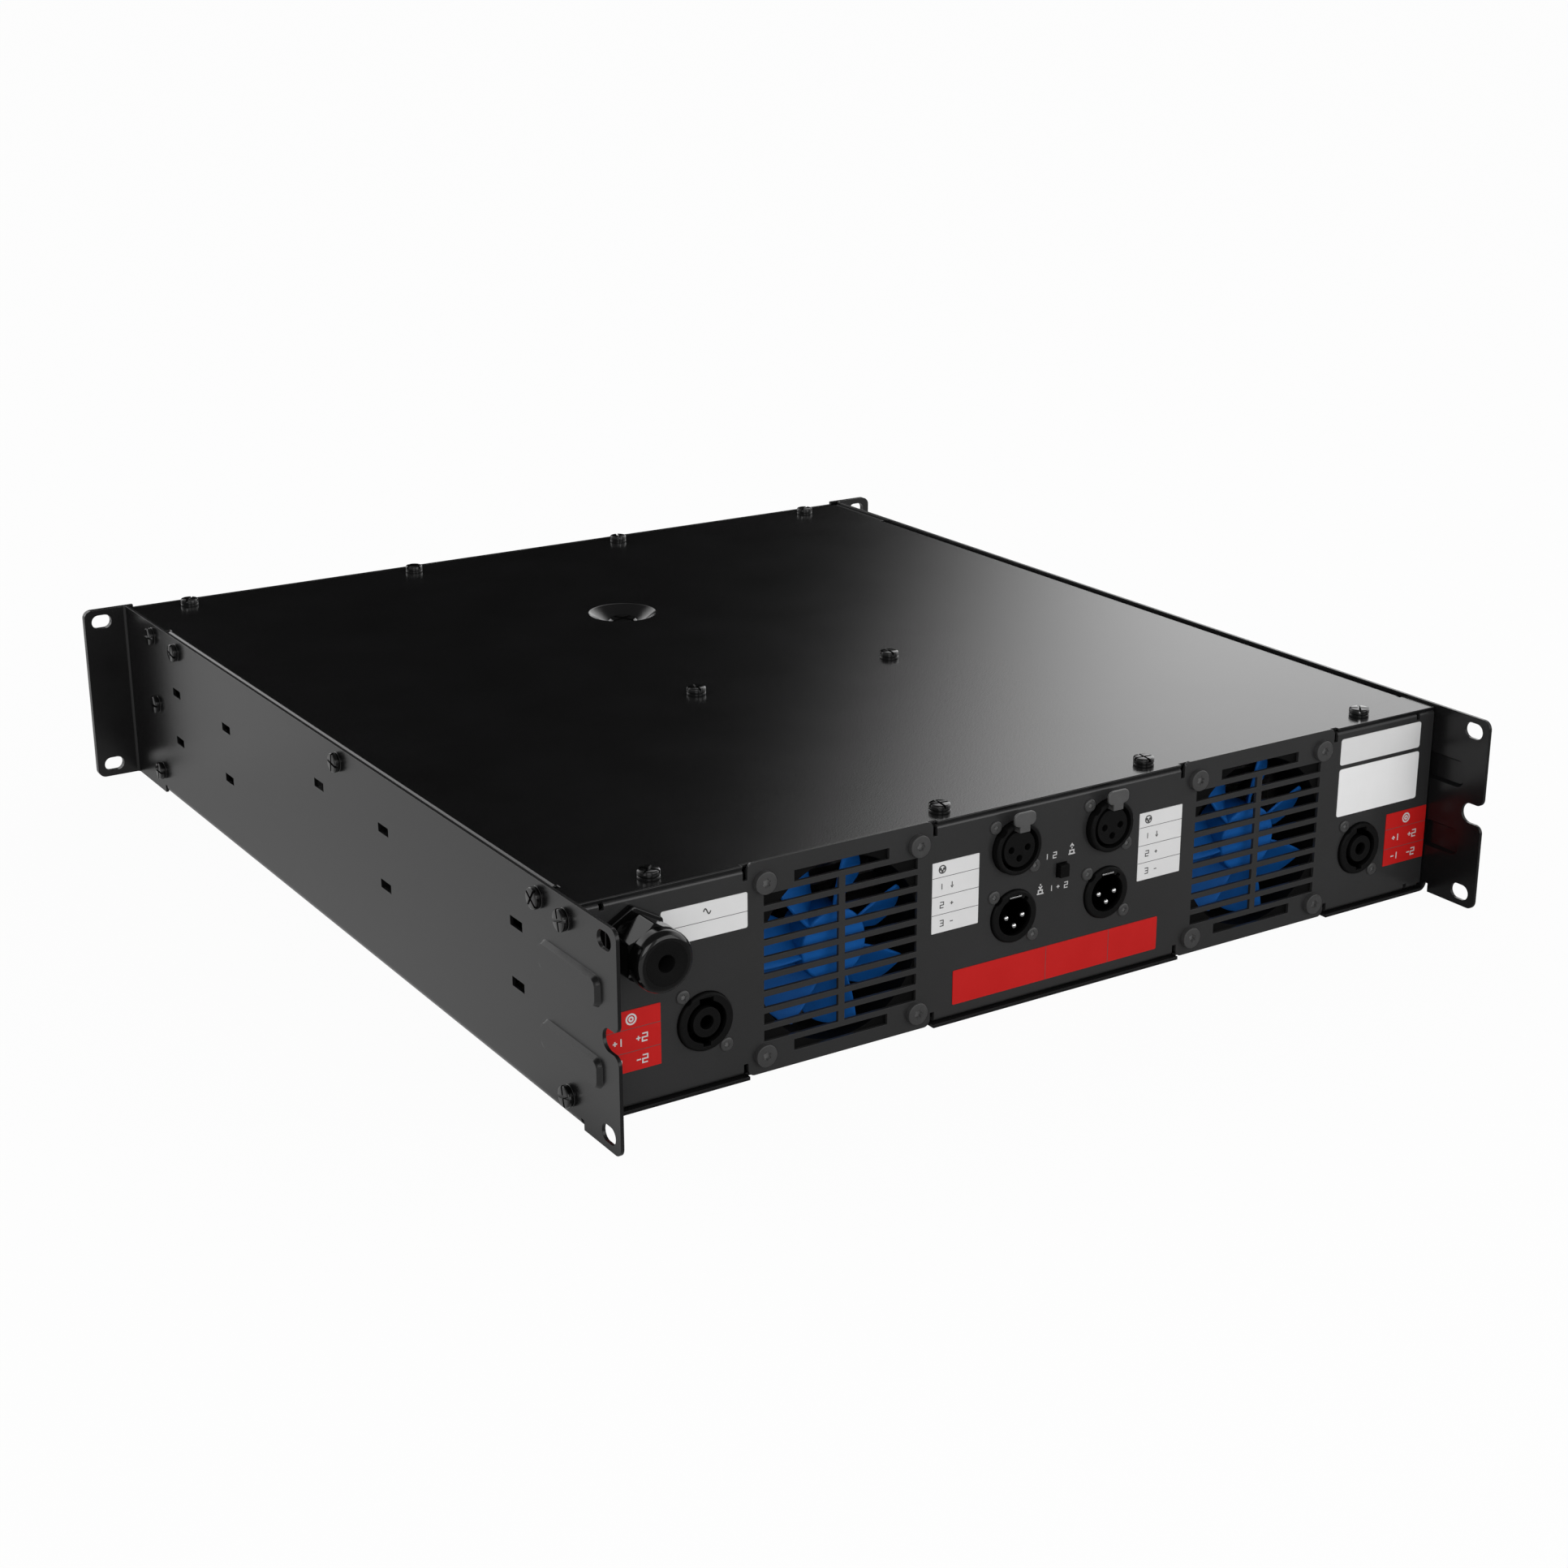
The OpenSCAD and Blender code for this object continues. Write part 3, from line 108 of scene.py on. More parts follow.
class Val:
    """A node socket that turns Python operators into Math nodes."""

    def __init__(self, graph: "Graph", socket: NodeSocket) -> None:
        """Keep the socket and the graph that it belongs to."""
        self.graph = graph
        self.socket = socket

    def math(self, operation: str, *others: "Val | float", swapped: bool = False) -> "Val":
        """Add a Math node.

        Args:
            operation: The Math node's operation.
            others: The other operands.
            swapped: Whether this value comes last.

        Returns:
            The node's result.
        """
        operands = [*others, self] if swapped else [self, *others]
        return self.graph.out("ShaderNodeMath", dict(enumerate(operands)), operation=operation)

    def __add__(self, other: "Val | float") -> "Val":
        """Return the sum."""
        return self.math("ADD", other)

    def __mul__(self, other: "Val | float") -> "Val":
        """Return the product."""
        return self.math("MULTIPLY", other)

    def __sub__(self, other: "Val | float") -> "Val":
        """Return the difference."""
        return self.math("SUBTRACT", other)

    def __rsub__(self, other: "Val | float") -> "Val":
        """Return the difference with this value taken away."""
        return self.math("SUBTRACT", other, swapped=True)

    def smooth(self, low: float, high: float) -> "Val":
        """Return a soft step from 0 at low to 1 at high."""
        return self.graph.out("ShaderNodeMapRange", {"Value": self, "From Min": low, "From Max": high},
                              "Result", interpolation_type="SMOOTHSTEP")


class Graph:
    """A node tree under construction."""

    def __init__(self, tree: NodeTree) -> None:
        """Start from an empty tree."""
        self.tree = tree
        tree.nodes.clear()

    def node(self, kind: str, sockets: Sockets | None = None, **settings: object) -> Node:
        """Add a node.

        Args:
            kind: The node's type.
            sockets: Values or links for its inputs, by name, identifier or place.
            settings: Its properties, which are set first.

        Returns:
            The new node.
        """
        node = self.tree.nodes.new(kind)
        for key, value in settings.items():
            setattr(node, key, value)
        for key, value in (sockets or {}).items():
            self._feed(self._socket(node.inputs, key), value)
        return node

    def out(self, kind: str, sockets: Sockets | None = None, key: str | int = 0,
            **settings: object) -> Val:
        """Add a node and take one of its outputs.

        Args:
            kind: The node's type.
            sockets: Values or links for its inputs.
            key: The output, by name, identifier or place.
            settings: Its properties.

        Returns:
            That output as a value.
        """
        return Val(self, self._socket(self.node(kind, sockets, **settings).outputs, key))

    def blend(self, factor: Val, low: Colour | Val, high: Colour | Val) -> Val:
        """Mix two colours.

        Args:
            factor: 0 for the first colour, 1 for the second.
            low: The first colour.
            high: The second colour.

        Returns:
            The mixed colour.
        """
        return self.out("ShaderNodeMix", {"Factor_Float": factor, "A_Color": low, "B_Color": high},
                        "Result_Color", data_type="RGBA")

    def place(self) -> NodeSocket:
        """Return the object's own coordinates."""
        return self.node("ShaderNodeTexCoord").outputs["Object"]

    def axes(self, vector: NodeSocket, letters: str) -> list[Val]:
        """Return the coordinates of a vector that the letters name."""
        return [self.out("ShaderNodeSeparateXYZ", {"Vector": vector}, axis) for axis in letters]

    def rays(self, *kinds: str) -> list[Val]:
        """Return for each kind of ray whether the present ray is one."""
        path = self.node("ShaderNodeLightPath")
        return [Val(self, path.outputs[f"Is {kind} Ray"]) for kind in kinds]

    @staticmethod
    def _socket(sockets: bpy.types.bpy_prop_collection, key: str | int) -> NodeSocket:
        """Find a socket by place, identifier or name."""
        if isinstance(key, int):
            return sockets[key]
        by_identifier = [s for s in sockets if s.identifier == key]
        return by_identifier[0] if by_identifier else sockets[key]

    def _feed(self, socket: NodeSocket, value: object) -> None:
        """Link or set one input."""
        if isinstance(value, Val):
            self.tree.links.new(value.socket, socket)
        elif isinstance(value, NodeSocket):
            self.tree.links.new(value, socket)
        elif isinstance(value, tuple) and len(value) == 3 and socket.type == "RGBA":
            socket.default_value = (*value, 1.0)
        else:
            socket.default_value = value


# Share of the grain in a finish's colour, beside the clouds, and its weight in the gloss
GRAIN_SHARE = 0.45
GRAIN_GLOSS = 0.5
# Noise values at which a finish has its dark and its light colour
COLOUR_STEP = (0.3, 0.7)
# Detail and roughness of the two noises
GRAIN_NOISE = (2.0, 0.6)
CLOUD_NOISE = (4.0, 0.55)


@dataclass(frozen=True)
class Finish:
    """A surface finish: one material with grain in its colour, gloss and height.

    The finish varies over the surface at two scales: fine grain, and broad clouds of handling
    and dust. Lengths are millimetres. Where painted shade depths are given, the colour comes up
    out of black between the two depths: painted shade in recesses. A finish with a name of its own
    shares its slot with another.
    """

    slot: str
    dark: Colour
    light: Colour
    rough: float = 0.4
    rough_spread: float = 0.1
    metallic: float = 0.0
    specular: float = 0.5
    ior: float = 1.45
    grain: float = 0.5
    grain_stretch: Triple = (1.0, 1.0, 1.0)
    relief: float = 0.01
    cloud: float = 60.0
    coat: float = 0.0
    glow: float = 0.0
    # Depths in millimetres between which a painted shade lifts from black to the colour, or None
    painted_shade_depths: Pair | None = None
    name: str = ""

    def material(self) -> Material:
        """Return the material, which is made at the first call."""
        key = self.name or self.slot
        if key not in MADE:
            MADE[key] = self._make(f"finish_{key}")
        return MADE[key]

    def _make(self, title: str) -> Material:
        """Build the node tree of the material with this title."""
        material = bpy.data.materials.new(title)
        material.use_nodes = True
        graph = Graph(material.node_tree)
        grain, cloud = self._noises(graph)
        mask = self.pattern(graph, grain * GRAIN_SHARE + cloud * (1 - GRAIN_SHARE))
        colour = graph.blend(mask, self.dark, self.light)
        # Painted shade: black below the deeper depth, standing in for the shade inside recesses
        if self.painted_shade_depths:
            colour = graph.blend(self._painted_shade_rise(graph), grey(0.0), colour)
        spread = self.rough_spread
        uneven = cloud * spread + grain * (spread * GRAIN_GLOSS)
        sockets = {
            "Base Color": colour,
            "Roughness": uneven + (self.rough - spread * (1 + GRAIN_GLOSS) / 2),
            "Metallic": self.metallic,
            "IOR": self.ior,
            "Specular IOR Level": self.specular,
            "Coat Weight": self.coat,
            "Normal": self._bump(graph, grain),
        }
        if self.glow:
            sockets["Emission Color"] = self.light
            sockets["Emission Strength"] = self.glow
        shader = graph.node("ShaderNodeBsdfPrincipled", sockets)
        graph.node("ShaderNodeOutputMaterial", {"Surface": shader.outputs[0]})
        return material

    def _noises(self, graph: Graph) -> list[Val]:
        """Return the fine grain and the broad clouds, each about 0 to 1."""
        place = graph.place()
        stretched = graph.out("ShaderNodeMapping", {"Vector": place, "Scale": self.grain_stretch})
        kinds = ((stretched, self.grain, GRAIN_NOISE), (place, self.cloud, CLOUD_NOISE))
        return [graph.out("ShaderNodeTexNoise", {
            "Vector": vector, "Scale": 1 / (size * MM), "Detail": detail, "Roughness": rough})
            for vector, size, (detail, rough) in kinds]

    def _painted_shade_rise(self, graph: Graph) -> Val:
        """Return the painted shade's lift: 0 at the deeper of the two depths and 1 at the other."""
        depth = graph.axes(graph.place(), "Y")[0]
        return depth.smooth(*((d - MID_D) * MM for d in self.painted_shade_depths))

    def _bump(self, graph: Graph, grain: Val) -> Val:
        """Return the normal that the relief gives."""
        return graph.out("ShaderNodeBump", {
            "Strength": 1.0, "Distance": self.relief * MM, "Height": self.height(graph, grain)})

    def pattern(self, graph: Graph, mask: Val) -> Val:
        """Return the mask between the two colours."""
        return mask.smooth(*COLOUR_STEP)

    def height(self, graph: Graph, grain: Val) -> Val:
        """Return the height that feeds the bump."""
        return grain


@dataclass(frozen=True)
class WoundFinish(Finish):
    """Wire or tape wound round a ring that stands on the floor of the case."""

    centre: Pair = (10.0, 145.0)
    turns: int = 150
    turn_high: float = 0.4
    grain_high: float = 0.2

    def height(self, graph: Graph, grain: Val) -> Val:
        """Return rounded turns, one for each step of angle about the ring's axis."""
        x, y = graph.axes(graph.place(), "XY")
        angle = (y - (self.centre[1] - MID_D) * MM).math("ARCTAN2", x - self.centre[0] * MM)
        wave = (angle * float(self.turns)).math("SINE")
        return wave * self.turn_high + grain * self.grain_high


@dataclass(frozen=True)
class BoardFinish(Finish):
    """Solder-masked circuit board with tracks under the mask."""

    track: float = 2.4
    scatter: float = 0.7
    border: Pair = (0.35, 0.5)
    track_share: float = 0.7

    def pattern(self, graph: Graph, mask: Val) -> Val:
        """Return tracks as the borders of square cells."""
        cells = graph.out("ShaderNodeTexVoronoi", {
            "Vector": graph.place(), "Scale": 1 / (self.track * MM), "Randomness": self.scatter},
            "Distance", distance="MANHATTAN", feature="F1")
        return cells.smooth(*self.border) * self.track_share + mask * (1 - self.track_share)


MADE: dict[str, Material] = {}


def grey(level: float, tint: float = 0.0) -> Colour:
    """Return a grey with a little blue in it where tint is above 0."""
    return (level, level, level * (1 + tint))


class Palette:
    """The finishes of the amplifier: one for each slot of the record, and the named ones beside them."""

    POWDER = Finish("powder_black", grey(0.006), grey(0.0085, 0.04), rough=0.26, rough_spread=0.04,
                    specular=0.39, grain=0.6, relief=0.027, cloud=45.0)
    COVER = replace(POWDER, rough=0.14, name="powder_cover")
    # The same powder coat on the rear panel, painted lighter: painted light for the lamps that face the rear
    PANEL_PAINTED_LIGHT = replace(POWDER, dark=grey(0.027), light=grey(0.031, 0.02), rough=0.17, name="powder_rear_painted_light")
    PLASTIC = Finish("black_plastic", grey(0.0055), grey(0.009), rough=0.5, rough_spread=0.12,
                     specular=0.12, grain=0.25, relief=0.008, cloud=20.0)
    # Sockets' plastic with painted shade: black deeper than 480.8 mm, its colour from 483.3 mm, for the
    # shade in the wells
    SOCKET = replace(PLASTIC, dark=grey(0.005), light=grey(0.0066), specular=0.08, painted_shade_depths=(480.8, 483.3),
                     name="socket_black_painted_shade")
    FRAME = replace(PLASTIC, dark=grey(0.003), light=grey(0.005), rough=0.6, specular=0.05,
                    name="fan_frame_black")
    NYLON = Finish("gland_black", grey(0.002), grey(0.0032), rough=0.09, rough_spread=0.03,
                   specular=0.42, grain=0.8, relief=0.001, cloud=12.0)
    FAN = Finish("fan_blue", (0.006, 0.085, 0.32), (0.009, 0.107, 0.385), rough=0.5, rough_spread=0.12,
                 specular=0.1, grain=0.35, relief=0.006, cloud=14.0)
    SCREW_BLACK = Finish("screw_black", grey(0.0025), grey(0.005), rough=0.16, rough_spread=0.06,
                         grain=0.3, relief=0.003, cloud=4.0)
    SCREW_GREY = Finish("screw_grey", grey(0.044), grey(0.055), rough=0.34, specular=0.4, grain=0.3,
                        relief=0.004, cloud=5.0)
    # Walls of the screws' driver recesses, lighter and part metallic: a painted glint
    RECESS = Finish("screw_grey", grey(0.12), grey(0.2), metallic=0.4, grain=0.3, relief=0.02, cloud=2.0,
                    name="screw_recess_painted_glint")
    LATCH = Finish("latch_grey", grey(0.096), grey(0.116), rough=0.38, metallic=0.4, grain=0.3,
                   relief=0.004, cloud=5.0)
    SILVER = Finish("contact_silver", grey(0.62), grey(0.8), rough=0.22, rough_spread=0.12,
                    metallic=1.0, grain=0.4, relief=0.004, cloud=3.0)
    # Pins' silver with painted shade: the shafts go black deeper than 480.5 mm, for the shade in the bores
    PIN = replace(SILVER, painted_shade_depths=(480.5, 483.2), name="pin_silver_painted_shade")
    GOLD = replace(SILVER, slot="contact_gold", dark=(0.62, 0.43, 0.14), light=(0.8, 0.6, 0.24), rough=0.25)
    WINDING = Finish("winding", (0.28, 0.09, 0.03), (0.42, 0.16, 0.05), rough=0.35, metallic=0.8,
                     relief=0.03, cloud=6.0)
    RUBBER = Finish("seal_rubber", grey(0.005), grey(0.0062), rough=0.65, specular=0.05,
                    grain=0.35, relief=0.006, cloud=8.0)
    WHITE = Finish("label_white", grey(0.7), grey(0.725), rough=0.42, specular=0.2, grain=0.3,
                   relief=0.002, cloud=14.0)
    RED = replace(WHITE, slot="label_red", dark=(0.51, 0.0115, 0.0105), light=(0.54, 0.0135, 0.0125),
                  specular=0.16)
    PLATE = replace(WHITE, slot="plate_silver", dark=grey(0.85), light=grey(0.88), rough=0.4, cloud=16.0)
    TAPE = WoundFinish("transformer_tape", (0.3, 0.2, 0.05), (0.45, 0.32, 0.09), rough=0.35,
                       grain=1.2, relief=0.35, cloud=14.0)
    PAD = Finish("pad_rubber", grey(0.012), grey(0.022), rough=0.75, specular=0.3, grain=0.6,
                 relief=0.03, cloud=15.0)
    STEEL = Finish("plain_steel", grey(0.42), grey(0.58), rough=0.3, rough_spread=0.16, metallic=1.0,
                   grain=0.4, relief=0.006, cloud=8.0)
    ALUMINIUM = Finish("sink_aluminium", grey(0.5), grey(0.62), rough=0.36, rough_spread=0.14,
                       metallic=1.0, grain=0.35, grain_stretch=(1.0, 0.03, 1.0), cloud=30.0)
    BOARD = BoardFinish("board_green", (0.008, 0.06, 0.02), (0.03, 0.14, 0.05), rough=0.35, relief=0.02,
                        cloud=10.0, coat=0.3)
    SLEEVE = Finish("can_sleeve", (0.01, 0.012, 0.03), (0.02, 0.025, 0.06), rough=0.3, cloud=18.0)
    CREAM = Finish("terminal_cream", (0.55, 0.5, 0.38), (0.66, 0.61, 0.48), rough=0.45, grain=0.4,
                   cloud=14.0)
    KNOB = Finish("knob_black", grey(0.01), grey(0.018), rough=0.5, rough_spread=0.14, specular=0.35,
                  grain=0.22, relief=0.014, cloud=8.0)
    BUTTON = replace(KNOB, dark=grey(0.004), light=grey(0.0058), rough=0.55, specular=0.06, relief=0.008,
                     name="button_black")
    LED = Finish("led_green", (0.02, 0.35, 0.06), (0.04, 0.5, 0.1), rough=0.15, grain=0.6, relief=0.003,
                 cloud=2.0, glow=0.3)

    @classmethod
    def by_slot(cls) -> dict[str, Finish]:
        """Return every finish by its slot's name."""
        return {f.slot: f for f in vars(cls).values() if isinstance(f, Finish) and not f.name}


def ink(slot: str, name: str, level: float) -> Finish:
    """Return a printing ink of a grey level, which shares the slot of the film that it is on."""
    darkest = 0.9 * level
    return Finish(slot, grey(darkest), grey(level), rough=0.5, specular=0.2, grain=0.3, relief=0.002,
                  cloud=9.0, name=name)


GREY_INK = ink("label_white", "ink_grey", 0.08)
PALE_INK = ink("label_red", "ink_pale", 0.62)
PANEL_INK = ink("label_white", "ink_panel", 0.55)


class Shape:
    """A mesh in the making, in local millimetres."""

    def __init__(self) -> None:
        """Start empty."""
        self.bm = bmesh.new()

    def lathe(self, profile: Line | Callable[[float], Line], steps: int) -> "Shape":
        """Turn a profile about Z.

        Args:
            profile: Radius and height of each ring, from pole to pole or as a loop that ends where
                it starts, or a function that gives them for an angle, where the piece isn't round.
            steps: Number of points in a ring.

        Returns:
            The shape itself.
        """
        angles = [2 * math.pi * k / steps for k in range(steps)]
        columns = [profile(angle) if callable(profile) else profile for angle in angles]
        rings = [self._ring(row, angles) for row in zip(*columns)]
        for below, above in zip(rings, rings[1:]):
            for k in range(steps):
                corners = [below[k % len(below)], below[(k + 1) % len(below)],
                           above[(k + 1) % len(above)], above[k % len(above)]]
                unique = list(dict.fromkeys(corners))
                if len(unique) > 2:
                    self.bm.faces.new(unique)
        return self._healed()

    def _ring(self, row: Sequence[Pair], angles: Sequence[float]) -> list[bmesh.types.BMVert]:
        """Add one ring of points, or one point on the axis."""
        if max(r for r, _ in row) < TOUCH:
            return [self.bm.verts.new((0, 0, row[0][1]))]
        return [self.bm.verts.new((r * math.cos(a), r * math.sin(a), z)) for a, (r, z) in zip(angles, row)]

    def prism(self, outline: Sequence[Pair], low: float, high: float) -> "Shape":
        """Raise an outline along Z.

        Args:
            outline: The corners, in order.
            low: Height of the underside.
            high: Height of the top.

        Returns:
            The shape itself.
        """
        fresh = [self.bm.verts.new((x, y, low)) for x, y in outline]
        base = self.bm.faces.new(fresh)
        grown = bmesh.ops.extrude_face_region(self.bm, geom=[base])["geom"]
        top = [v for v in grown if isinstance(v, bmesh.types.BMVert)]
        bmesh.ops.translate(self.bm, verts=top, vec=(0, 0, high - low))
        return self._healed()

    def _healed(self) -> "Shape":
        """Merge the seams and turn the faces outwards."""
        bmesh.ops.remove_doubles(self.bm, verts=self.bm.verts, dist=TOUCH)
        bmesh.ops.recalc_face_normals(self.bm, faces=self.bm.faces)
        return self

    def add(self, other: "Shape") -> None:
        """Take in another shape, which is used up."""
        mesh = other.mesh("part")
        self.bm.from_mesh(mesh)
        bpy.data.meshes.remove(mesh)

    def mesh(self, name: str, place: Matrix | None = None) -> Mesh:
        """Finish the mesh.

        Args:
            name: Its name.
            place: The matrix that takes it to its place.

        Returns:
            The mesh.
        """
        mesh = bpy.data.meshes.new(name)
        self.bm.to_mesh(mesh)
        self.bm.free()
        if place:
            mesh.transform(place)
        return mesh


def rounded(points: Sequence[Pair], radius: float, steps: int) -> Line:
    """Round the corners of an open line, whose ends stay sharp.

    Args:
        points: Its corners.
        radius: The corner radius, kept below half of each side.
        steps: Number of pieces in each corner.

    Returns:
        The points of the rounded line.
    """
    most = 0.49
    result = [points[0]]
    for last, corner, following in zip(points, points[1:], points[2:]):
        here = Vector(corner)
        before = Vector(last) - here
        after = Vector(following) - here
        room = min(radius, most * before.length, most * after.length)
        start = here + before.normalized() * room
        end = here + after.normalized() * room
        for step in range(steps + 1):
            t = step / steps
            point = start * (1 - t) ** 2 + here * (2 * t * (1 - t)) + end * t ** 2
            result.append((point.x, point.y))
    return [*result, points[-1]]


def box_outline(width: float, height: float, centre: Pair = (0.0, 0.0)) -> Line:
    """Return the corners of a rectangle about its centre."""
    x, y = centre
    return [(x + sx * width / 2, y + sy * height / 2) for sx, sy in ((-1, -1), (1, -1), (1, 1), (-1, 1))]


@dataclass
class Piece:
    """A finished mesh that takes its place on the object."""

    name: str
    body: str
    finish: Finish
    stands_for: tuple[str, ...] = ()

    def put(self, mesh: Mesh, smooth_angle: float | None = 35.0) -> None:
        """Make the object, dress it and let it ride on its body.

        Args:
            mesh: The mesh, in metres of the frame.
            smooth_angle: The angle in degrees up to which faces shade as one, or None to leave it.
        """
        if not mesh.materials:
            mesh.materials.append(self.finish.material())
        if smooth_angle is not None:
            mesh.shade_smooth()
            mesh.set_sharp_from_angle(angle=math.radians(smooth_angle))
        piece = in_scene(self.name, mesh)
        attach(piece, self.body)
        if self.stands_for:
            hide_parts(*self.stands_for)
        LOG.info("%s rides on %s", self.name, self.body)


def evaluated_mesh(holder: Object, name: str) -> Mesh:
    """Turn an object's modifiers into a plain mesh and remove the object.

    Args:
        holder: The object with its modifiers.
        name: The new mesh's name.

    Returns:
        The mesh.
    """
    graph = bpy.context.evaluated_depsgraph_get()
    mesh = bpy.data.meshes.new_from_object(holder.evaluated_get(graph), depsgraph=graph)
    mesh.name = name
    bpy.data.objects.remove(holder)
    return mesh


def in_scene(name: str, data: bpy.types.ID) -> Object:
    """Return a new object that is linked to the scene."""
    made = bpy.data.objects.new(name, data)
    bpy.context.scene.collection.objects.link(made)
    return made


def modify(holder: Object, kind: str, **settings: object) -> bpy.types.Modifier:
    """Add a modifier.

    Args:
        holder: The object that it works on.
        kind: The modifier's type.
        settings: Its properties.

    Returns:
        The modifier.
    """
    modifier = holder.modifiers.new(kind.lower(), kind)
    for key, value in settings.items():
        setattr(modifier, key, value)
    return modifier


@dataclass
class SolidCopy:
    """A copy of a CAD node with broken edges and smooth curves."""

    node: str
    finish: Finish
    edge: float
    body: str = "chassis"
    segments: int = 2
    angle: float = 32.0
    merge: float = 0.002

    def build(self) -> None:
        """Merge, bevel and dress the copy."""
        source = frame["nodes"][self.node].data.copy()
        source.materials.clear()
        work = bmesh.new()
        work.from_mesh(source)
        bmesh.ops.remove_doubles(work, verts=work.verts, dist=self.merge * MM)
        work.to_mesh(source)
        work.free()
        for name in ("custom_normal", "sharp_edge", "sharp_face"):
            if name in source.attributes:
                source.attributes.remove(source.attributes[name])
        holder = in_scene(f"work_{self.node}", source)
        source.shade_smooth()
        modify(holder, "BEVEL", width=self.edge * MM, segments=self.segments, limit_method="ANGLE",
               angle_limit=math.radians(self.angle), use_clamp_overlap=False, loop_slide=False,
               face_strength_mode="FSTR_ALL")
        modify(holder, "WEIGHTED_NORMAL", use_face_influence=True)
        mesh = evaluated_mesh(holder, f"{self.node}_dressed")
        piece = Piece(f"{self.node}_dressed", self.body, self.finish, (self.node,))
        piece.put(mesh, smooth_angle=None)


class Pattern:
    """A Geometry Nodes tree that repeats a piece, with named inputs."""

    def __init__(self, name: str, **inputs: str) -> None:
        """Open the tree.

        Args:
            name: Its name.
            inputs: Name and kind of each input beside the geometry, the piece and its finishes.
        """
        self.tree = bpy.data.node_groups.new(name, "GeometryNodeTree")
        face = self.tree.interface
        face.new_socket("Geometry", in_out="INPUT", socket_type="NodeSocketGeometry")
        face.new_socket("Geometry", in_out="OUTPUT", socket_type="NodeSocketGeometry")
        kinds = {"Piece": "Object", **inputs, "Finish": "Material", "Bright finish": "Material"}
        self.names = {n: face.new_socket(n, in_out="INPUT", socket_type=f"NodeSocket{kind}").identifier
                      for n, kind in kinds.items()}
        self.graph = Graph(self.tree)
        self.entry = self.graph.node("NodeGroupInput")

    def given(self, name: str) -> NodeSocket:
        """Return the socket of an input."""
        return self.entry.outputs[name]

    def placed(self, points: Val, turn: Val) -> Val:
        """Put the piece on points.

        Args:
            points: The points.
            turn: The angles by which the piece is turned on each of them.

        Returns:
            The instances.
        """
        piece = self.graph.out("GeometryNodeObjectInfo", {"Object": self.given("Piece")}, "Geometry")
        return self.graph.out("GeometryNodeInstanceOnPoints", {
            "Points": points, "Instance": piece,
            "Rotation": self.graph.out("FunctionNodeEulerToRotation", {"Euler": turn})})

    def close(self, instances: Val) -> None:
        """End the tree: plain geometry with its finish, and the faces that carry a painted glint with
        theirs.
        """
        solid = self.graph.out("GeometryNodeRealizeInstances", {"Geometry": instances})
        dressed = self.graph.out("GeometryNodeSetMaterial", {
            "Geometry": solid, "Material": self.given("Finish")})
        bright = self.graph.out("GeometryNodeInputNamedAttribute", {"Name": "bright"}, "Attribute",
                                data_type="BOOLEAN")
        done = self.graph.out("GeometryNodeSetMaterial", {
            "Geometry": dressed, "Selection": bright, "Material": self.given("Bright finish")})
        self.graph.node("NodeGroupOutput", {"Geometry": done})

    def run(self, name: str, base: Mesh, values: dict[str, object]) -> Mesh:
        """Grow the pattern.

        Args:
            name: The new mesh's name.
            base: The mesh that carries the pattern.
            values: The inputs by name.

        Returns:
            The plain mesh.
        """
        holder = in_scene(f"work_{name}", base)
        grow = modify(holder, "NODES", node_group=self.tree)
        for key, value in values.items():
            grow[self.names[key]] = value
        return evaluated_mesh(holder, name)


class ScrewPattern(Pattern):
    """Puts one screw on every point, turned as the point says."""

    def __init__(self) -> None:
        """Build the tree."""
        super().__init__("screw_pattern")
        points = self.graph.out("GeometryNodeMeshToPoints", {"Mesh": self.given("Geometry")})
        turn = self.graph.out("GeometryNodeInputNamedAttribute", {"Name": "turn"}, "Attribute",
                              data_type="FLOAT_VECTOR")
        self.close(self.placed(points, turn))


class RingPattern(Pattern):
    """Repeats a piece about the Z axis."""

    def __init__(self) -> None:
        """Build the tree."""
        super().__init__("ring_pattern", Count="Int")
        g = self.graph
        count = Val(g, self.given("Count"))
        angle = (g.out("GeometryNodeInputIndex") * (2 * math.pi)).math("DIVIDE", count)
        turn = g.out("ShaderNodeCombineXYZ", {"Z": angle})
        ring = self.placed(g.out("GeometryNodePoints", {"Count": count}), turn)
        both = g.node("GeometryNodeJoinGeometry")
        for part in (Val(g, self.given("Geometry")), ring):
            g.tree.links.new(part.socket, both.inputs[0])
        self.close(Val(g, both.outputs[0]))


class Recess(Enum):
    """The driver recess in a screw head."""

    CROSS = "cross"
    STAR = "star"

    def outline(self, radius: float) -> Line:
        """Return the recess's corners.

        Args:
            radius: Distance of its tips from the axis.

        Returns:
            The corners in order.
        """
        if self is Recess.CROSS:
            arm = 0.12 * radius
            quarter = [(radius, -arm), (radius, arm), (arm, arm)]
            return [(x * c - y * s, x * s + y * c)
                    for c, s in ((1, 0), (0, 1), (-1, 0), (0, -1)) for x, y in quarter]
        star = []
        corners = 48
        tips = 6
        dip = 0.14
        for k in range(corners):
            angle = 2 * math.pi * k / corners
            far = radius * (1 - dip + dip * math.cos(tips * angle))
            star.append((far * math.cos(angle), far * math.sin(angle)))
        return star


# A screw's facing, place across, depth and height, and its turn in degrees
Spot = tuple[Facing, float, float, float, float]


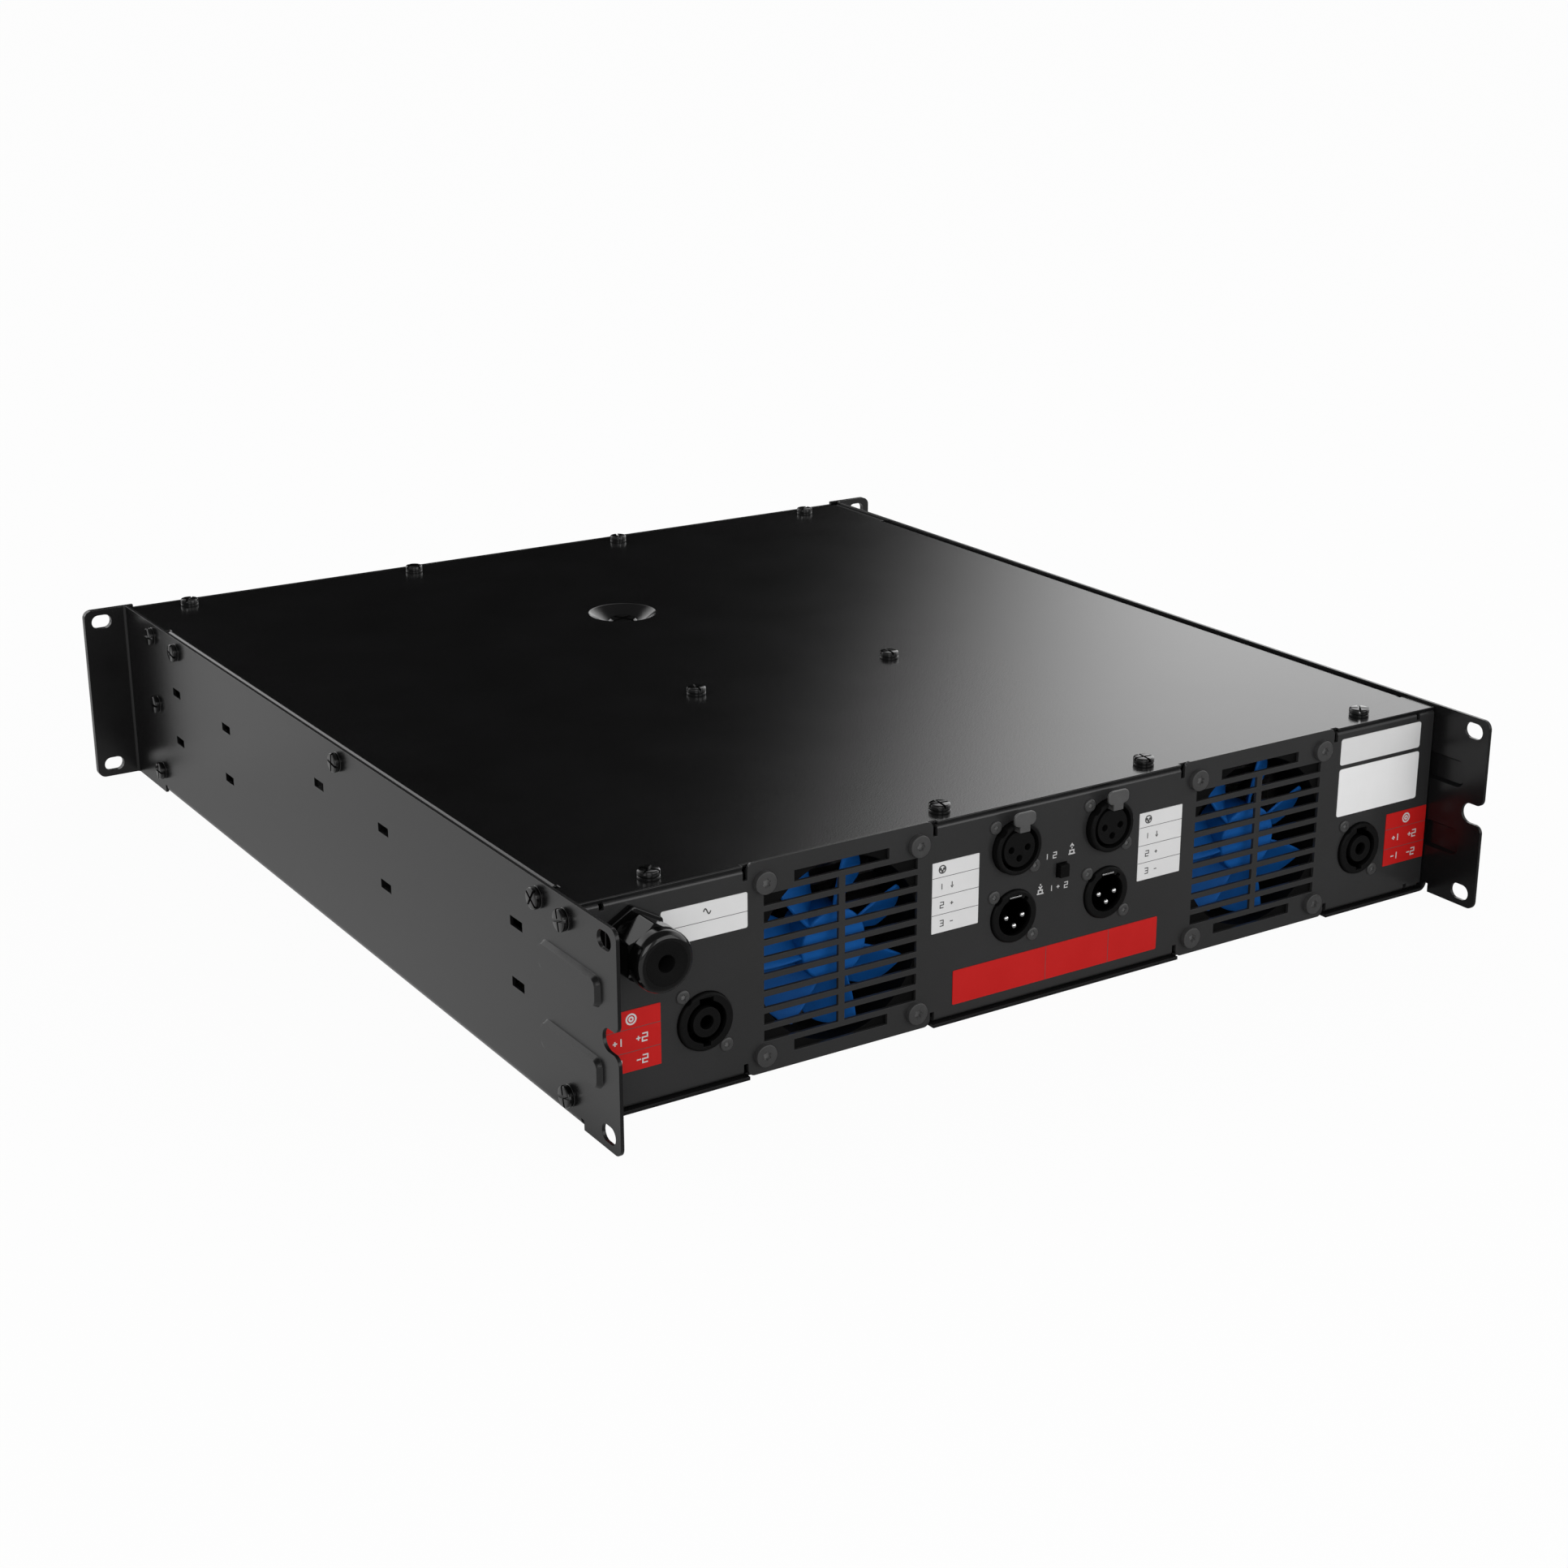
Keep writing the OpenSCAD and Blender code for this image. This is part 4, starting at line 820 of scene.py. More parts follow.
@dataclass
class ScrewSet:
    """All the screws of one kind, as one piece."""

    name: str
    node: str
    finish: Finish
    profile: Line
    spots: list[Spot]
    recess: Recess
    recess_radius: float
    recess_floor: float
    # Finish of the recess walls, which carries a painted glint
    bright: Finish | None = None
    steps: int = 48
    slack: float = 0.05
    above: float = 1.0

    def build(self, pattern: ScrewPattern) -> None:
        """Put a screw on every spot.

        Args:
            pattern: The tree that repeats it.
        """
        template = in_scene("work_screw", self._template())
        base = bpy.data.meshes.new("spots")
        places = [facing.at(x, depth, z) for facing, x, depth, z, _ in self.spots]
        base.from_pydata([p.to_translation() for p in places], [], [])
        turns = base.attributes.new("turn", "FLOAT_VECTOR", "POINT")
        for row, place, (*_, spin) in zip(turns.data, places, self.spots):
            row.vector = (place @ Matrix.Rotation(math.radians(spin), 4, "Z")).to_euler()
        mesh = pattern.run(self.name, base, {
            "Piece": template, "Finish": self.finish.material(),
            "Bright finish": (self.bright or self.finish).material()})
        bpy.data.objects.remove(template)
        Piece(self.name, "chassis", self.finish, (self.node,)).put(mesh)

    def _template(self) -> Mesh:
        """Return one screw in metres, along Z, with its driver recess cut."""
        scale = Matrix.Scale(MM, 4)
        head = in_scene("work_head", Shape().lathe(self.profile, self.steps).mesh("head", scale))
        top = max(z for _, z in self.profile)
        cutter = Shape().prism(self.recess.outline(self.recess_radius), self.recess_floor, top + self.above)
        tool = in_scene("work_tool", cutter.mesh("tool", scale))
        modify(head, "BOOLEAN", operation="DIFFERENCE", solver="EXACT", object=tool)
        mesh = evaluated_mesh(head, "screw")
        bpy.data.objects.remove(tool)
        # Mark the recess walls for the lighter finish: a painted glint inside the driver recess
        bright = mesh.attributes.new("bright", "BOOLEAN", "FACE")
        for polygon, mark in zip(mesh.polygons, bright.data):
            middle = polygon.center / MM
            inside = math.hypot(middle.x, middle.y) < self.recess_radius + self.slack
            mark.value = inside and 0.0 < middle.z < top - self.slack
        return mesh


@dataclass
class Screws:
    """Every screw that shows on the case. The spins leave each screw at an angle of its own."""

    side_x: float = 219.6
    side_shank: float = 6.0
    side_spin: float = 2.3
    cover_top: float = 87.85
    cover_shank: float = 7.0
    cover_spin: float = 1.7
    fan_pitch: float = 71.5
    fan_spin: Triple = (15.0, 40.0, 25.0)
    signal: Pair = (-5.4, 54.3)
    signal_gap: Pair = (48.2, 30.0)
    signal_screw: Pair = (10.1, 10.1)
    speaker_x: Pair = (164.9, -175.6)
    speaker_z: float = 29.0
    speaker_screw: Pair = (9.5, 12.0)
    socket_spin: float = 35.0
    fascia_front: float = -3.5
    fascia_x: float = 209.0
    fascia_z: Pair = (13.0, 76.0)
    side_rows: Line = field(default_factory=lambda: [
        (39.0, 11.6), (39.0, 47.0), (39.0, 82.4), (72.0, 81.9), (270.0, 81.9), (454.5, 81.9),
        (475.5, 9.8), (475.5, 80.4)])
    cover_rows: Line = field(default_factory=lambda: [
        (-189.0, 9.5), (-63.0, 9.5), (63.0, 9.5), (189.0, 9.5), (49.5, 284.0), (-57.8, 284.0),
        (182.0, 471.5), (49.0, 471.5), (-56.5, 471.5), (-181.0, 471.5)])

    def build(self) -> None:
        """Make one set for each CAD node of screws."""
        pattern = ScrewPattern()
        for kind in (self._cross("cover", self._cover_spots(), self.cover_shank),
                     self._cross("side", self._side_spots(), self.side_shank),
                     self._fan_screws(), self._small_screws(), self._fascia_screws()):
            kind.build(pattern)

    def _cross(self, place: str, spots: list[Spot], shank: float) -> ScrewSet:
        """Describe a flat-topped screw on its washer."""
        profile = [*rounded([(0.0, -shank), (1.95, -shank), (1.95, 0.0)], 0.4, steps=2),
                   (4.4, 0.0), (4.4, 0.35), (4.25, 0.5), (3.75, 0.55), (3.75, 0.8), (4.25, 0.85), (4.4, 1.0),
                   (4.4, 2.4), (4.3, 2.7), (4.05, 2.9), (3.7, 3.0), (0.0, 3.0)]
        return ScrewSet(f"{place}_screw_set", f"{place}_screws", Palette.SCREW_BLACK, profile, spots,
                        Recess.CROSS, recess_radius=4.6, recess_floor=1.7)

    def _cover_spots(self) -> list[Spot]:
        """Return the places of the cover's screws."""
        return [(Facing.UP, x, depth, self.cover_top, x * self.cover_spin) for x, depth in self.cover_rows]

    def _side_spots(self) -> list[Spot]:
        """Return the places of both sides' screws."""
        sides = ((Facing.LEFT, self.side_x), (Facing.RIGHT, -self.side_x))
        return [(facing, x, depth, z, depth * self.side_spin)
                for facing, x in sides for depth, z in self.side_rows]

    def _fan_screws(self) -> ScrewSet:
        """Describe the disc-headed screws of the fans."""
        profile = [(0.0, -12.0), (1.6, -12.0), (2.0, -11.6), (2.0, 0.0), (4.6, 0.0), (4.6, 1.9),
                   (4.54, 2.06), (4.4, 2.16), (4.2, 2.2), (0.0, 2.2)]
        half = self.fan_pitch / 2
        start, by_x, by_z = self.fan_spin
        spots = [(Facing.REAR, x + sx * half, REAR_D, FAN_Z + sz * half, start + by_x * sx + by_z * sz)
                 for x in FAN_X.values() for sx in SIGNS for sz in SIGNS]
        return ScrewSet("fan_screw_set", "fan_screws", Palette.SCREW_GREY, profile, spots, Recess.STAR,
                        recess_radius=2.0, recess_floor=0.8, bright=Palette.RECESS)

    def _small_screws(self) -> ScrewSet:
        """Describe the screws of the signal and speaker sockets, two on each."""
        profile = [(0.0, -4.5), (1.2, -4.5), (1.45, -4.2), (1.45, 0.0), (2.8, 0.0), (2.8, 0.4), (2.7, 0.6),
                   (2.45, 0.76), (2.1, 0.86), (1.6, 0.9), (0.0, 0.9)]
        (x, z), (across, up) = self.signal, self.signal_gap
        sockets = [(x + sx * across / 2, z + sz * up / 2, self.signal_screw)
                   for sx in SIGNS for sz in SIGNS]
        sockets += [(x, self.speaker_z, self.speaker_screw) for x in self.speaker_x]
        spots = [(Facing.REAR, x + s * away[0], REAR_D, z + s * away[1], x + self.socket_spin * s)
                 for x, z, away in sockets for s in SIGNS]
        return ScrewSet("connector_screw_set", "connector_screws", Palette.SCREW_GREY, profile, spots,
                        Recess.STAR, recess_radius=1.25, recess_floor=0.25, bright=Palette.RECESS)

    def _fascia_screws(self) -> ScrewSet:
        """Describe the button-headed screws of the fascia."""
        profile = [(0.0, -6.0), (1.2, -6.0), (1.45, -5.7), (1.45, 0.0), (2.8, 0.0), (2.78, 0.3), (2.6, 0.9),
                   (2.2, 1.35), (1.7, 1.6), (0.0, 1.6)]
        spots = [(Facing.FRONT, sx * self.fascia_x, self.fascia_front, z, z)
                 for sx in SIGNS for z in self.fascia_z]
        return ScrewSet("fascia_screw_set", "fascia_screws", Palette.SCREW_BLACK, profile, spots,
                        Recess.STAR, recess_radius=1.4, recess_floor=0.6)


@dataclass
class Fan:
    """One fan: its frame and its turning impeller."""

    side: str
    frame_edge: float = 0.3
    hub_back: float = 459.5
    hub_long: float = 17.3
    hub_radius: float = 15.0
    hub_soft: float = 1.3
    hub_steps: int = 96
    wall: float = 1.6
    shaft: float = 1.95
    shaft_low: float = -2.0
    shaft_soft: float = 0.3
    tip: float = 36.4
    blades: int = 7
    lead_root: float = 38.0
    lead_tip: float = 31.0
    trail: float = -5.0
    front: float = 16.3
    sweep: float = 12.5
    bow: float = 0.9
    root_in: float = 0.8
    cut_start: float = 0.35
    cut_deep: float = 8.0
    cut_power: float = 2.2
    nose_long: float = 0.12
    nose_deep: float = 1.2
    thick: float = 1.2
    blade_soft: float = 0.35
    soft_angle: float = 50.0
    grid: tuple[int, int] = (18, 14)
    smooth: float = 40.0

    def build(self, pattern: RingPattern) -> None:
        """Make the frame and the impeller.

        Args:
            pattern: The tree that repeats the blades.
        """
        SolidCopy(f"fan_frame_{self.side}", Palette.FRAME, self.frame_edge).build()
        blade = in_scene("work_blade", self._blade())
        finish = Palette.FAN.material()
        mesh = pattern.run(f"fan_rotor_{self.side}", self._hub(), {
            "Piece": blade, "Count": self.blades, "Finish": finish, "Bright finish": finish})
        bpy.data.objects.remove(blade)
        mesh.transform(Facing.REAR.at(FAN_X[self.side], self.hub_back, FAN_Z))
        rotor = Piece(f"fan_rotor_{self.side}", f"fan_{self.side}", Palette.FAN,
                      (f"fan_impeller_{self.side}",))
        rotor.put(mesh, self.smooth)

    def _hub(self) -> Mesh:
        """Return the cup of the hub with its shaft, in local millimetres."""
        inner = self.hub_radius - self.wall
        floor = self.hub_long - self.wall
        rim = rounded([(self.hub_radius, 0.0), (self.hub_radius, self.hub_long), (0.0, self.hub_long)],
                      self.hub_soft, steps=5)
        low, soft = self.shaft_low, self.shaft_soft
        profile = [(0.0, low), (self.shaft - soft, low), (self.shaft, low + soft), (self.shaft, floor),
                   (inner, floor), (inner, 0.0), *rim]
        return Shape().lathe(profile, self.hub_steps).mesh("hub")

    def _point(self, u: float, v: float) -> Vector:
        """Return a point of a blade's middle surface.

        Args:
            u: 0 at the edge near the panel, 1 at the far edge.
            v: 0 inside the hub's wall, 1 at the tip.

        Returns:
            The point in local millimetres.
        """
        root = self.hub_radius - self.root_in
        cut = max(0.0, u - self.cut_start) / (1 - self.cut_start)
        nose = max(0.0, self.nose_long - u) / self.nose_long
        far = self.tip - self.cut_deep * cut ** self.cut_power - self.nose_deep * nose ** 2
        r = root + v * (far - root)
        lead = self.lead_root + (self.lead_tip - self.lead_root) * (r - root) / (self.tip - root)
        angle = math.radians(lead + (self.trail - lead) * u)
        lift = self.front - self.sweep * u - self.bow * math.sin(math.pi * u)
        return Vector((r * math.cos(angle), r * math.sin(angle), lift))

    def _blade(self) -> Mesh:
        """Return one twisted blade with thickness, in local millimetres."""
        across, along = self.grid
        shape = Shape()
        grid = [[shape.bm.verts.new(self._point(i / across, j / along)) for j in range(along + 1)]
                for i in range(across + 1)]
        for i in range(across):
            for j in range(along):
                shape.bm.faces.new((grid[i][j], grid[i + 1][j], grid[i + 1][j + 1], grid[i][j + 1]))
        bmesh.ops.recalc_face_normals(shape.bm, faces=shape.bm.faces)
        holder = in_scene("work_sheet", shape.mesh("blade"))
        modify(holder, "SOLIDIFY", thickness=self.thick, offset=0.0)
        modify(holder, "BEVEL", width=self.blade_soft, segments=2,
               angle_limit=math.radians(self.soft_angle))
        return evaluated_mesh(holder, "blade")


@dataclass
class Gland:
    """The empty cable gland: hexagon base, dome nut and seal. Heights count from the panel."""

    x: float = 196.3
    z: float = 69.4
    thread: float = 9.3
    thread_ends: Pair = (-11.0, 15.0)
    thread_soft: float = 0.4
    thread_play: float = 0.03
    bore: float = 6.5
    base_flats: float = 24.6
    base_high: float = 3.6
    base_foot: float = 0.2
    base_soft: float = 0.5
    base_turn: float = 0.15
    nut_flats: float = 22.6
    nut_low: float = 8.0
    nut_ledge: float = 16.6
    nut_soft: float = 0.3
    nut_shoulder: float = 19.6
    shoulder_radius: float = 11.75
    groove: float = 11.2
    groove_slant: float = 0.1
    dome: float = 12.1
    dome_low: float = 20.4
    dome_soft: float = 3.1
    dome_steps: int = 15
    front: float = 26.9
    seal: float = 8.5
    seal_low: float = 16.0
    hole: float = 3.4
    hole_soft: float = 0.3
    hole_turn: Pair = (0.07, 0.08)
    play: float = 0.05
    corner_soft: float = 0.3
    steps: int = 180
    smooth: float = 28.0

    def build(self) -> None:
        """Make the three pieces that show."""
        place = Facing.REAR.at(self.x, REAR_D, self.z)
        for node, profile, finish in (
                ("gland_body", self._base, Palette.NYLON), ("gland_dome_nut", self._nut, Palette.NYLON),
                ("gland_seal", self._seal(), Palette.RUBBER)):
            piece = Piece(f"{node}_turned", "chassis", finish, (node,))
            piece.put(Shape().lathe(profile, self.steps).mesh(node, place), self.smooth)

    def _hexagon(self, flats: float, angle: float) -> float:
        """Return how far a hexagon with a corner on top reaches at an angle."""
        sixth = math.pi / 3
        off = angle % sixth - sixth / 2
        corner = flats / 2 / math.cos(sixth / 2)
        return min(flats / 2 / math.cos(sixth / 2 - abs(off)), corner - self.corner_soft)

    def _base(self, angle: float) -> Line:
        """Return the profile of the hexagon base with its threads at an angle."""
        reach = self._hexagon(self.base_flats, angle)
        top, soft, turn, foot = self.base_high, self.base_soft, self.base_turn, self.base_foot
        low, high = self.thread_ends
        inner = self.thread - self.thread_soft
        return [(self.bore, low), (inner, low), (self.thread, low + self.thread_soft), (self.thread, 0.0),
                (reach - foot, 0.0), (reach, foot), (reach, top - soft), (reach - turn, top - turn),
                (reach - soft, top), (self.thread, top), (self.thread, high - self.thread_soft),
                (inner, high), (self.bore, high), (self.bore, low)]

    def _nut(self, angle: float) -> Line:
        """Return the profile of the dome nut at an angle: hexagon, groove and dome."""
        reach = self._hexagon(self.nut_flats, angle)
        edge = min(self.shoulder_radius, reach - self.play)
        low, shoulder, soft = self.nut_low, self.nut_shoulder, self.nut_soft
        inner, lip = self.thread + self.thread_play, self.seal + self.play
        bend = self.dome_soft
        turns = [math.radians(90 * k / self.dome_steps) for k in range(self.dome_steps + 1)]
        arc = [(self.dome - bend * (1 - math.cos(t)), self.front - bend * (1 - math.sin(t))) for t in turns]
        return [(inner, low), (reach - soft, low), (reach, low + soft), (reach, shoulder - (reach - edge)),
                (edge, shoulder), (self.groove, shoulder + self.groove_slant),
                (self.groove, self.dome_low - self.groove_slant), (self.dome - soft, self.dome_low),
                (self.dome, self.dome_low + soft), *arc, (lip, self.front), (lip, self.nut_ledge),
                (inner, self.nut_ledge), (inner, low)]

    def _seal(self) -> Line:
        """Return the profile of the seal."""
        top, low, hole, soft = self.front, self.seal_low, self.hole, self.hole_soft
        out, down = self.hole_turn
        return [(hole, low), (self.seal, low), (self.seal, top), (hole + soft, top),
                (hole + out, top - down), (hole, top - soft), (hole, low)]


@dataclass
class CopyGroup:
    """A sub-assembly of dressed copies, whose sizes are the widths of their edges."""

    def copies(self) -> list[SolidCopy]:
        """Return the copies in order."""
        raise NotImplementedError

    def build(self) -> None:
        """Make every copy."""
        for copy in self.copies():
            copy.build()


@dataclass
class Casework(CopyGroup):
    """The folded steel of the case."""

    sheet: float = 0.1
    cover: float = 0.45
    plate: float = 0.2

    def copies(self) -> list[SolidCopy]:
        """Return the tray, the cover, the panel and the fascia."""
        return [SolidCopy(node, finish, edge) for node, finish, edge in (
            ("chassis_tray", Palette.POWDER, self.sheet), ("top_cover", Palette.COVER, self.cover),
            ("rear_panel", Palette.PANEL_PAINTED_LIGHT, self.sheet), ("front_fascia", Palette.POWDER, self.plate))]


@dataclass
class Connectors(CopyGroup):
    """The sockets, paddles and button of the rear panel."""

    signal: float = 0.15
    speaker: float = 0.2
    latch: float = 0.3
    pin: float = 0.1
    button: float = 0.4

    def copies(self) -> list[SolidCopy]:
        """Return the sockets of each side and what belongs to them."""
        made = []
        for side in SIDES:
            made += [SolidCopy(f"xlr_female_{side}", Palette.SOCKET, self.signal),
                     SolidCopy(f"xlr_male_{side}", Palette.SOCKET, self.signal),
                     SolidCopy(f"speaker_socket_{side}", Palette.SOCKET, self.speaker),
                     SolidCopy(f"xlr_latch_{side}", Palette.LATCH, self.latch, f"latch_{side}", segments=3)]
        return [*made, SolidCopy("xlr_pins", Palette.PIN, self.pin),
                SolidCopy("mode_button", Palette.BUTTON, self.button, "button", segments=3)]


@dataclass
class FrontControls(CopyGroup):
    """Knobs, rocker and their housings on the fascia."""

    knob: float = 0.18
    rocker: float = 0.4
    housing: float = 0.25

    def copies(self) -> list[SolidCopy]:
        """Return the two knobs, the rocker and its housing."""
        knobs = [SolidCopy(f"level_knob_{side}", Palette.KNOB, self.knob, f"knob_{side}") for side in SIDES]
        return [*knobs, SolidCopy("power_rocker", Palette.KNOB, self.rocker, "rocker", segments=3),
                SolidCopy("rocker_housing", Palette.PLASTIC, self.housing)]


def circle(middle: Pair, radius: float, steps: int = 24) -> list[Line]:
    """Return a circle as two half lines, whose ends lie square to it."""
    hair = 0.002
    lines = []
    for start in (0.0, math.pi):
        inner = [start + 2 * math.pi * k / steps for k in range(1, steps // 2)]
        turns = [start, start + hair, *inner, start + math.pi - hair, start + math.pi]
        lines.append([(middle[0] + radius * math.cos(t), middle[1] + radius * math.sin(t)) for t in turns])
    return lines


def band(line: Sequence[Pair], half: float) -> Line:
    """Return the outline of a line drawn with a square-ended pen.

    Args:
        line: The points of the line.
        half: Half the pen's width.

    Returns:
        The corners of the outline, down one side and back up the other.
    """
    least = 0.3
    points = [Vector(p) for p in line]
    ways = [(b - a).normalized() for a, b in zip(points, points[1:])]
    left, right = [], []
    for k, point in enumerate(points):
        before, after = ways[max(k - 1, 0)], ways[min(k, len(ways) - 1)]
        mean = (before + after).normalized()
        aside = Vector((-mean.y, mean.x)) * (half / max(least, mean.dot(after)))
        left.append(tuple(point + aside))
        right.append(tuple(point - aside))
    return left + right[::-1]


class Mark(Enum):
    """The plain marks that are printed on the labels and the panel."""

    ONE = "1"
    TWO = "2"
    THREE = "3"
    PLUS = "plus"
    MINUS = "minus"
    ARROW = "arrow"
    PINS = "pins"
    RINGS = "rings"
    BUTTON_OUT = "button out"
    BUTTON_IN = "button in"
    WAVE = "wave"

    def strokes(self) -> list[Line]:
        """Return the mark's lines in a box one high, from its lower left corner."""
        cap = [[(0.0, 0.0), (1.0, 0.0)], [(0.2, 0.09), (0.2, 0.45), (0.8, 0.45), (0.8, 0.09)]]
        return {
            Mark.ONE: [[(0.3, 0.0), (0.3, 1.0)]],
            Mark.TWO: [[(0.0, 1.0), (0.7, 1.0), (0.7, 0.5), (0.0, 0.5), (0.0, 0.0), (0.7, 0.0)]],
            Mark.THREE: [[(0.0, 1.0), (0.7, 1.0), (0.7, 0.0), (0.0, 0.0)], [(0.1, 0.5), (0.6, 0.5)]],
            Mark.PLUS: [[(0.0, 0.5), (0.6, 0.5)], [(0.3, 0.6), (0.3, 0.8)], [(0.3, 0.2), (0.3, 0.4)]],
            Mark.MINUS: [[(0.0, 0.5), (0.6, 0.5)]],
            Mark.ARROW: [[(0.3, 1.0), (0.3, 0.3)], [(0.05, 0.35), (0.3, 0.0), (0.55, 0.35)]],
            Mark.PINS: circle((0.5, 0.5), 0.5) + [half for p in ((0.25, 0.55), (0.75, 0.55), (0.5, 0.28))
                                                  for half in circle(p, 0.1, 8)],
            Mark.RINGS: circle((0.5, 0.5), 0.5) + circle((0.5, 0.5), 0.2, 16),
            Mark.BUTTON_OUT: [*cap, [(0.5, 0.65), (0.5, 0.85)], [(0.25, 0.95), (0.5, 1.25), (0.75, 0.95)]],
            Mark.BUTTON_IN: [*cap, [(0.5, 1.05), (0.5, 1.25)], [(0.25, 0.95), (0.5, 0.65), (0.75, 0.95)]],
            Mark.WAVE: [[(0.1 * k, 0.5 + 0.35 * math.sin(0.2 * math.pi * k)) for k in range(11)]],
        }[self]


@dataclass
class Labels:
    """The printed films of the rear panel, with plain marks and dividing lines.

    A film is given by its left and right ends as seen from the rear. An aside is how far a mark stands
    from the left end, and a foot is its height over the floor or, beside the button, over the button.
    """

    film: float = 0.25
    ink_high: float = 0.03
    line: float = 0.22
    stroke: float = 0.42
    small: float = 2.4
    large: float = 3.1
    icon: float = 3.4
    pictogram: float = 3.2
    rings: float = 4.0
    button: Pair = (-5.8, 54.3)
    button_feet: Pair = (5.9, -8.4)
    mains_film: Pair = (183.3, 145.7)
    mains_rule: float = 69.55
    wave: Pair = (165.0, 71.8)
    input_films: tuple[Pair, Pair] = ((59.7, 36.7), (-46.5, -69.7))
    input_rules: Triple = (63.9, 55.85, 48.06)
    input_feet: Triple = (58.7, 50.8, 43.0)
    input_icon: Pair = (3.2, 65.6)
    input_aside: Pair = (4.0, 9.0)
    speaker_films: tuple[Pair, Pair] = ((209.3, 184.1), (-192.2, -217.3))
    speaker_rules: Pair = (33.8, 24.4)
    speaker_feet: Pair = (27.6, 18.8)
    speaker_icon: Pair = (10.6, 35.6)
    speaker_aside: Pair = (4.6, 7.2)
    speaker_step: float = 10.0
    middle_x: Pair = (1.1, -32.1)
    middle_ends: Pair = (7.05, 21.95)

    def build(self) -> None:
        """Make the three printings: grey and pale on the films, pale on the panel."""
        self._print("label_print_grey", GREY_INK, self.film, self._grey_parts())
        self._print("label_print_pale", PALE_INK, self.film, self._pale_parts())
        self._print("panel_print", PANEL_INK, 0.0, self._panel_parts())

    def _print(self, name: str, finish: Finish, low: float, parts: list[Line]) -> None:
        """Lay the outlines on the films or the panel.

        Args:
            name: The piece's name.
            finish: Its ink.
            low: Height of the printed surface over the panel.
            parts: Outlines in X and Z, in millimetres.
        """
        shape = Shape()
        for outline in parts:
            shape.add(Shape().prism([(-x, z) for x, z in outline], low, low + self.ink_high))
        Piece(name, "chassis", finish).put(shape.mesh(name, Facing.REAR.at(0.0, REAR_D, 0.0)))

    def _rule(self, film: Pair, z: float) -> Line:
        """Return a line across a film."""
        left, right = film
        return box_outline(left - right, self.line, ((left + right) / 2, z))

    def _upright(self, x: float, ends: Pair) -> Line:
        """Return a line up a film."""
        low, high = ends
        return box_outline(self.line, high - low, (x, (low + high) / 2))

    def _mark(self, mark: Mark, x: float, z: float, high: float) -> list[Line]:
        """Return a mark's strokes as outlines.

        Args:
            mark: The mark.
            x: Place of its left edge as seen from the rear.
            z: Height of its foot.
            high: Its height.

        Returns:
            One outline for each stroke.
        """
        half = self.stroke / 2 * high / self.small
        return [band([(x - ax * high, z + az * high) for ax, az in line], half) for line in mark.strokes()]

    def _grey_parts(self) -> list[Line]:
        """Return what is printed on the white films, and the dividing lines of the red ones."""
        parts = [self._rule(self.mains_film, self.mains_rule)]
        parts += self._mark(Mark.WAVE, *self.wave, self.pictogram)
        signs = ((Mark.ONE, Mark.ARROW), (Mark.TWO, Mark.PLUS), (Mark.THREE, Mark.MINUS))
        for film in self.input_films:
            parts += [self._rule(film, z) for z in self.input_rules]
            aside, foot = self.input_icon
            parts += self._mark(Mark.PINS, film[0] - aside, foot, self.pictogram)
            for z, pair in zip(self.input_feet, signs):
                for mark, aside in zip(pair, self.input_aside):
                    parts += self._mark(mark, film[0] - aside, z, self.small)
        parts += [self._rule(film, z) for film in self.speaker_films for z in self.speaker_rules]
        return parts + [self._upright(x, self.middle_ends) for x in self.middle_x]

    def _pale_parts(self) -> list[Line]:
        """Return what is printed on the red films."""
        parts = []
        for left, _ in self.speaker_films:
            aside, foot = self.speaker_icon
            parts += self._mark(Mark.RINGS, left - aside, foot, self.rings)
            for z, sign in zip(self.speaker_feet, (Mark.PLUS, Mark.MINUS)):
                for k, number in enumerate((Mark.ONE, Mark.TWO)):
                    for mark, aside in zip((sign, number), self.speaker_aside):
                        parts += self._mark(mark, left - aside - self.speaker_step * k, z, self.large)
        return parts

    def _panel_parts(self) -> list[Line]:
        """Return what is printed on the panel, above and below the button."""
        x, z = self.button
        upper, lower = (z + foot for foot in self.button_feet)
        row = ((Mark.ONE, 8.4, upper, self.small), (Mark.TWO, 4.6, upper, self.small),
               (Mark.BUTTON_OUT, -3.4, upper, self.icon), (Mark.BUTTON_IN, 12.4, lower, self.icon),
               (Mark.ONE, 5.6, lower, self.small), (Mark.PLUS, 2.2, lower, self.small),
               (Mark.TWO, -1.8, lower, self.small))
        return [part for mark, aside, foot, high in row for part in self._mark(mark, x + aside, foot, high)]


def dress_the_rest() -> None:
    """Give every CAD node that still shows the finish of its slot in the record."""
    finishes = Palette.by_slot()
    for entry in frame["record"]["subparts"]:
        solid = frame["nodes"][entry["node"]]
        if solid.hide_render:
            continue
        material = finishes[entry["material_slot"]].material()
        if not solid.material_slots:
            solid.data.materials.append(material)
        for slot in solid.material_slots:
            slot.material = material
        LOG.info("%s keeps its solid", entry["node"])


@dataclass(frozen=True)
class Lamp:
    """A soft square lamp: where it hangs and its side in metres, and its power in watts."""

    name: str
    place: Triple
    size: float
    watts: float

    def hang(self, aim: Vector) -> None:
        """Make the lamp and point it at a place.

        Args:
            aim: The place, in metres.
        """
        data = bpy.data.lights.new(self.name, "AREA")
        data.size = self.size
        data.energy = self.watts
        lamp = in_scene(self.name, data)
        lamp.location = self.place
        lamp.rotation_euler = (aim - Vector(self.place)).to_track_quat("-Z", "Y").to_euler()


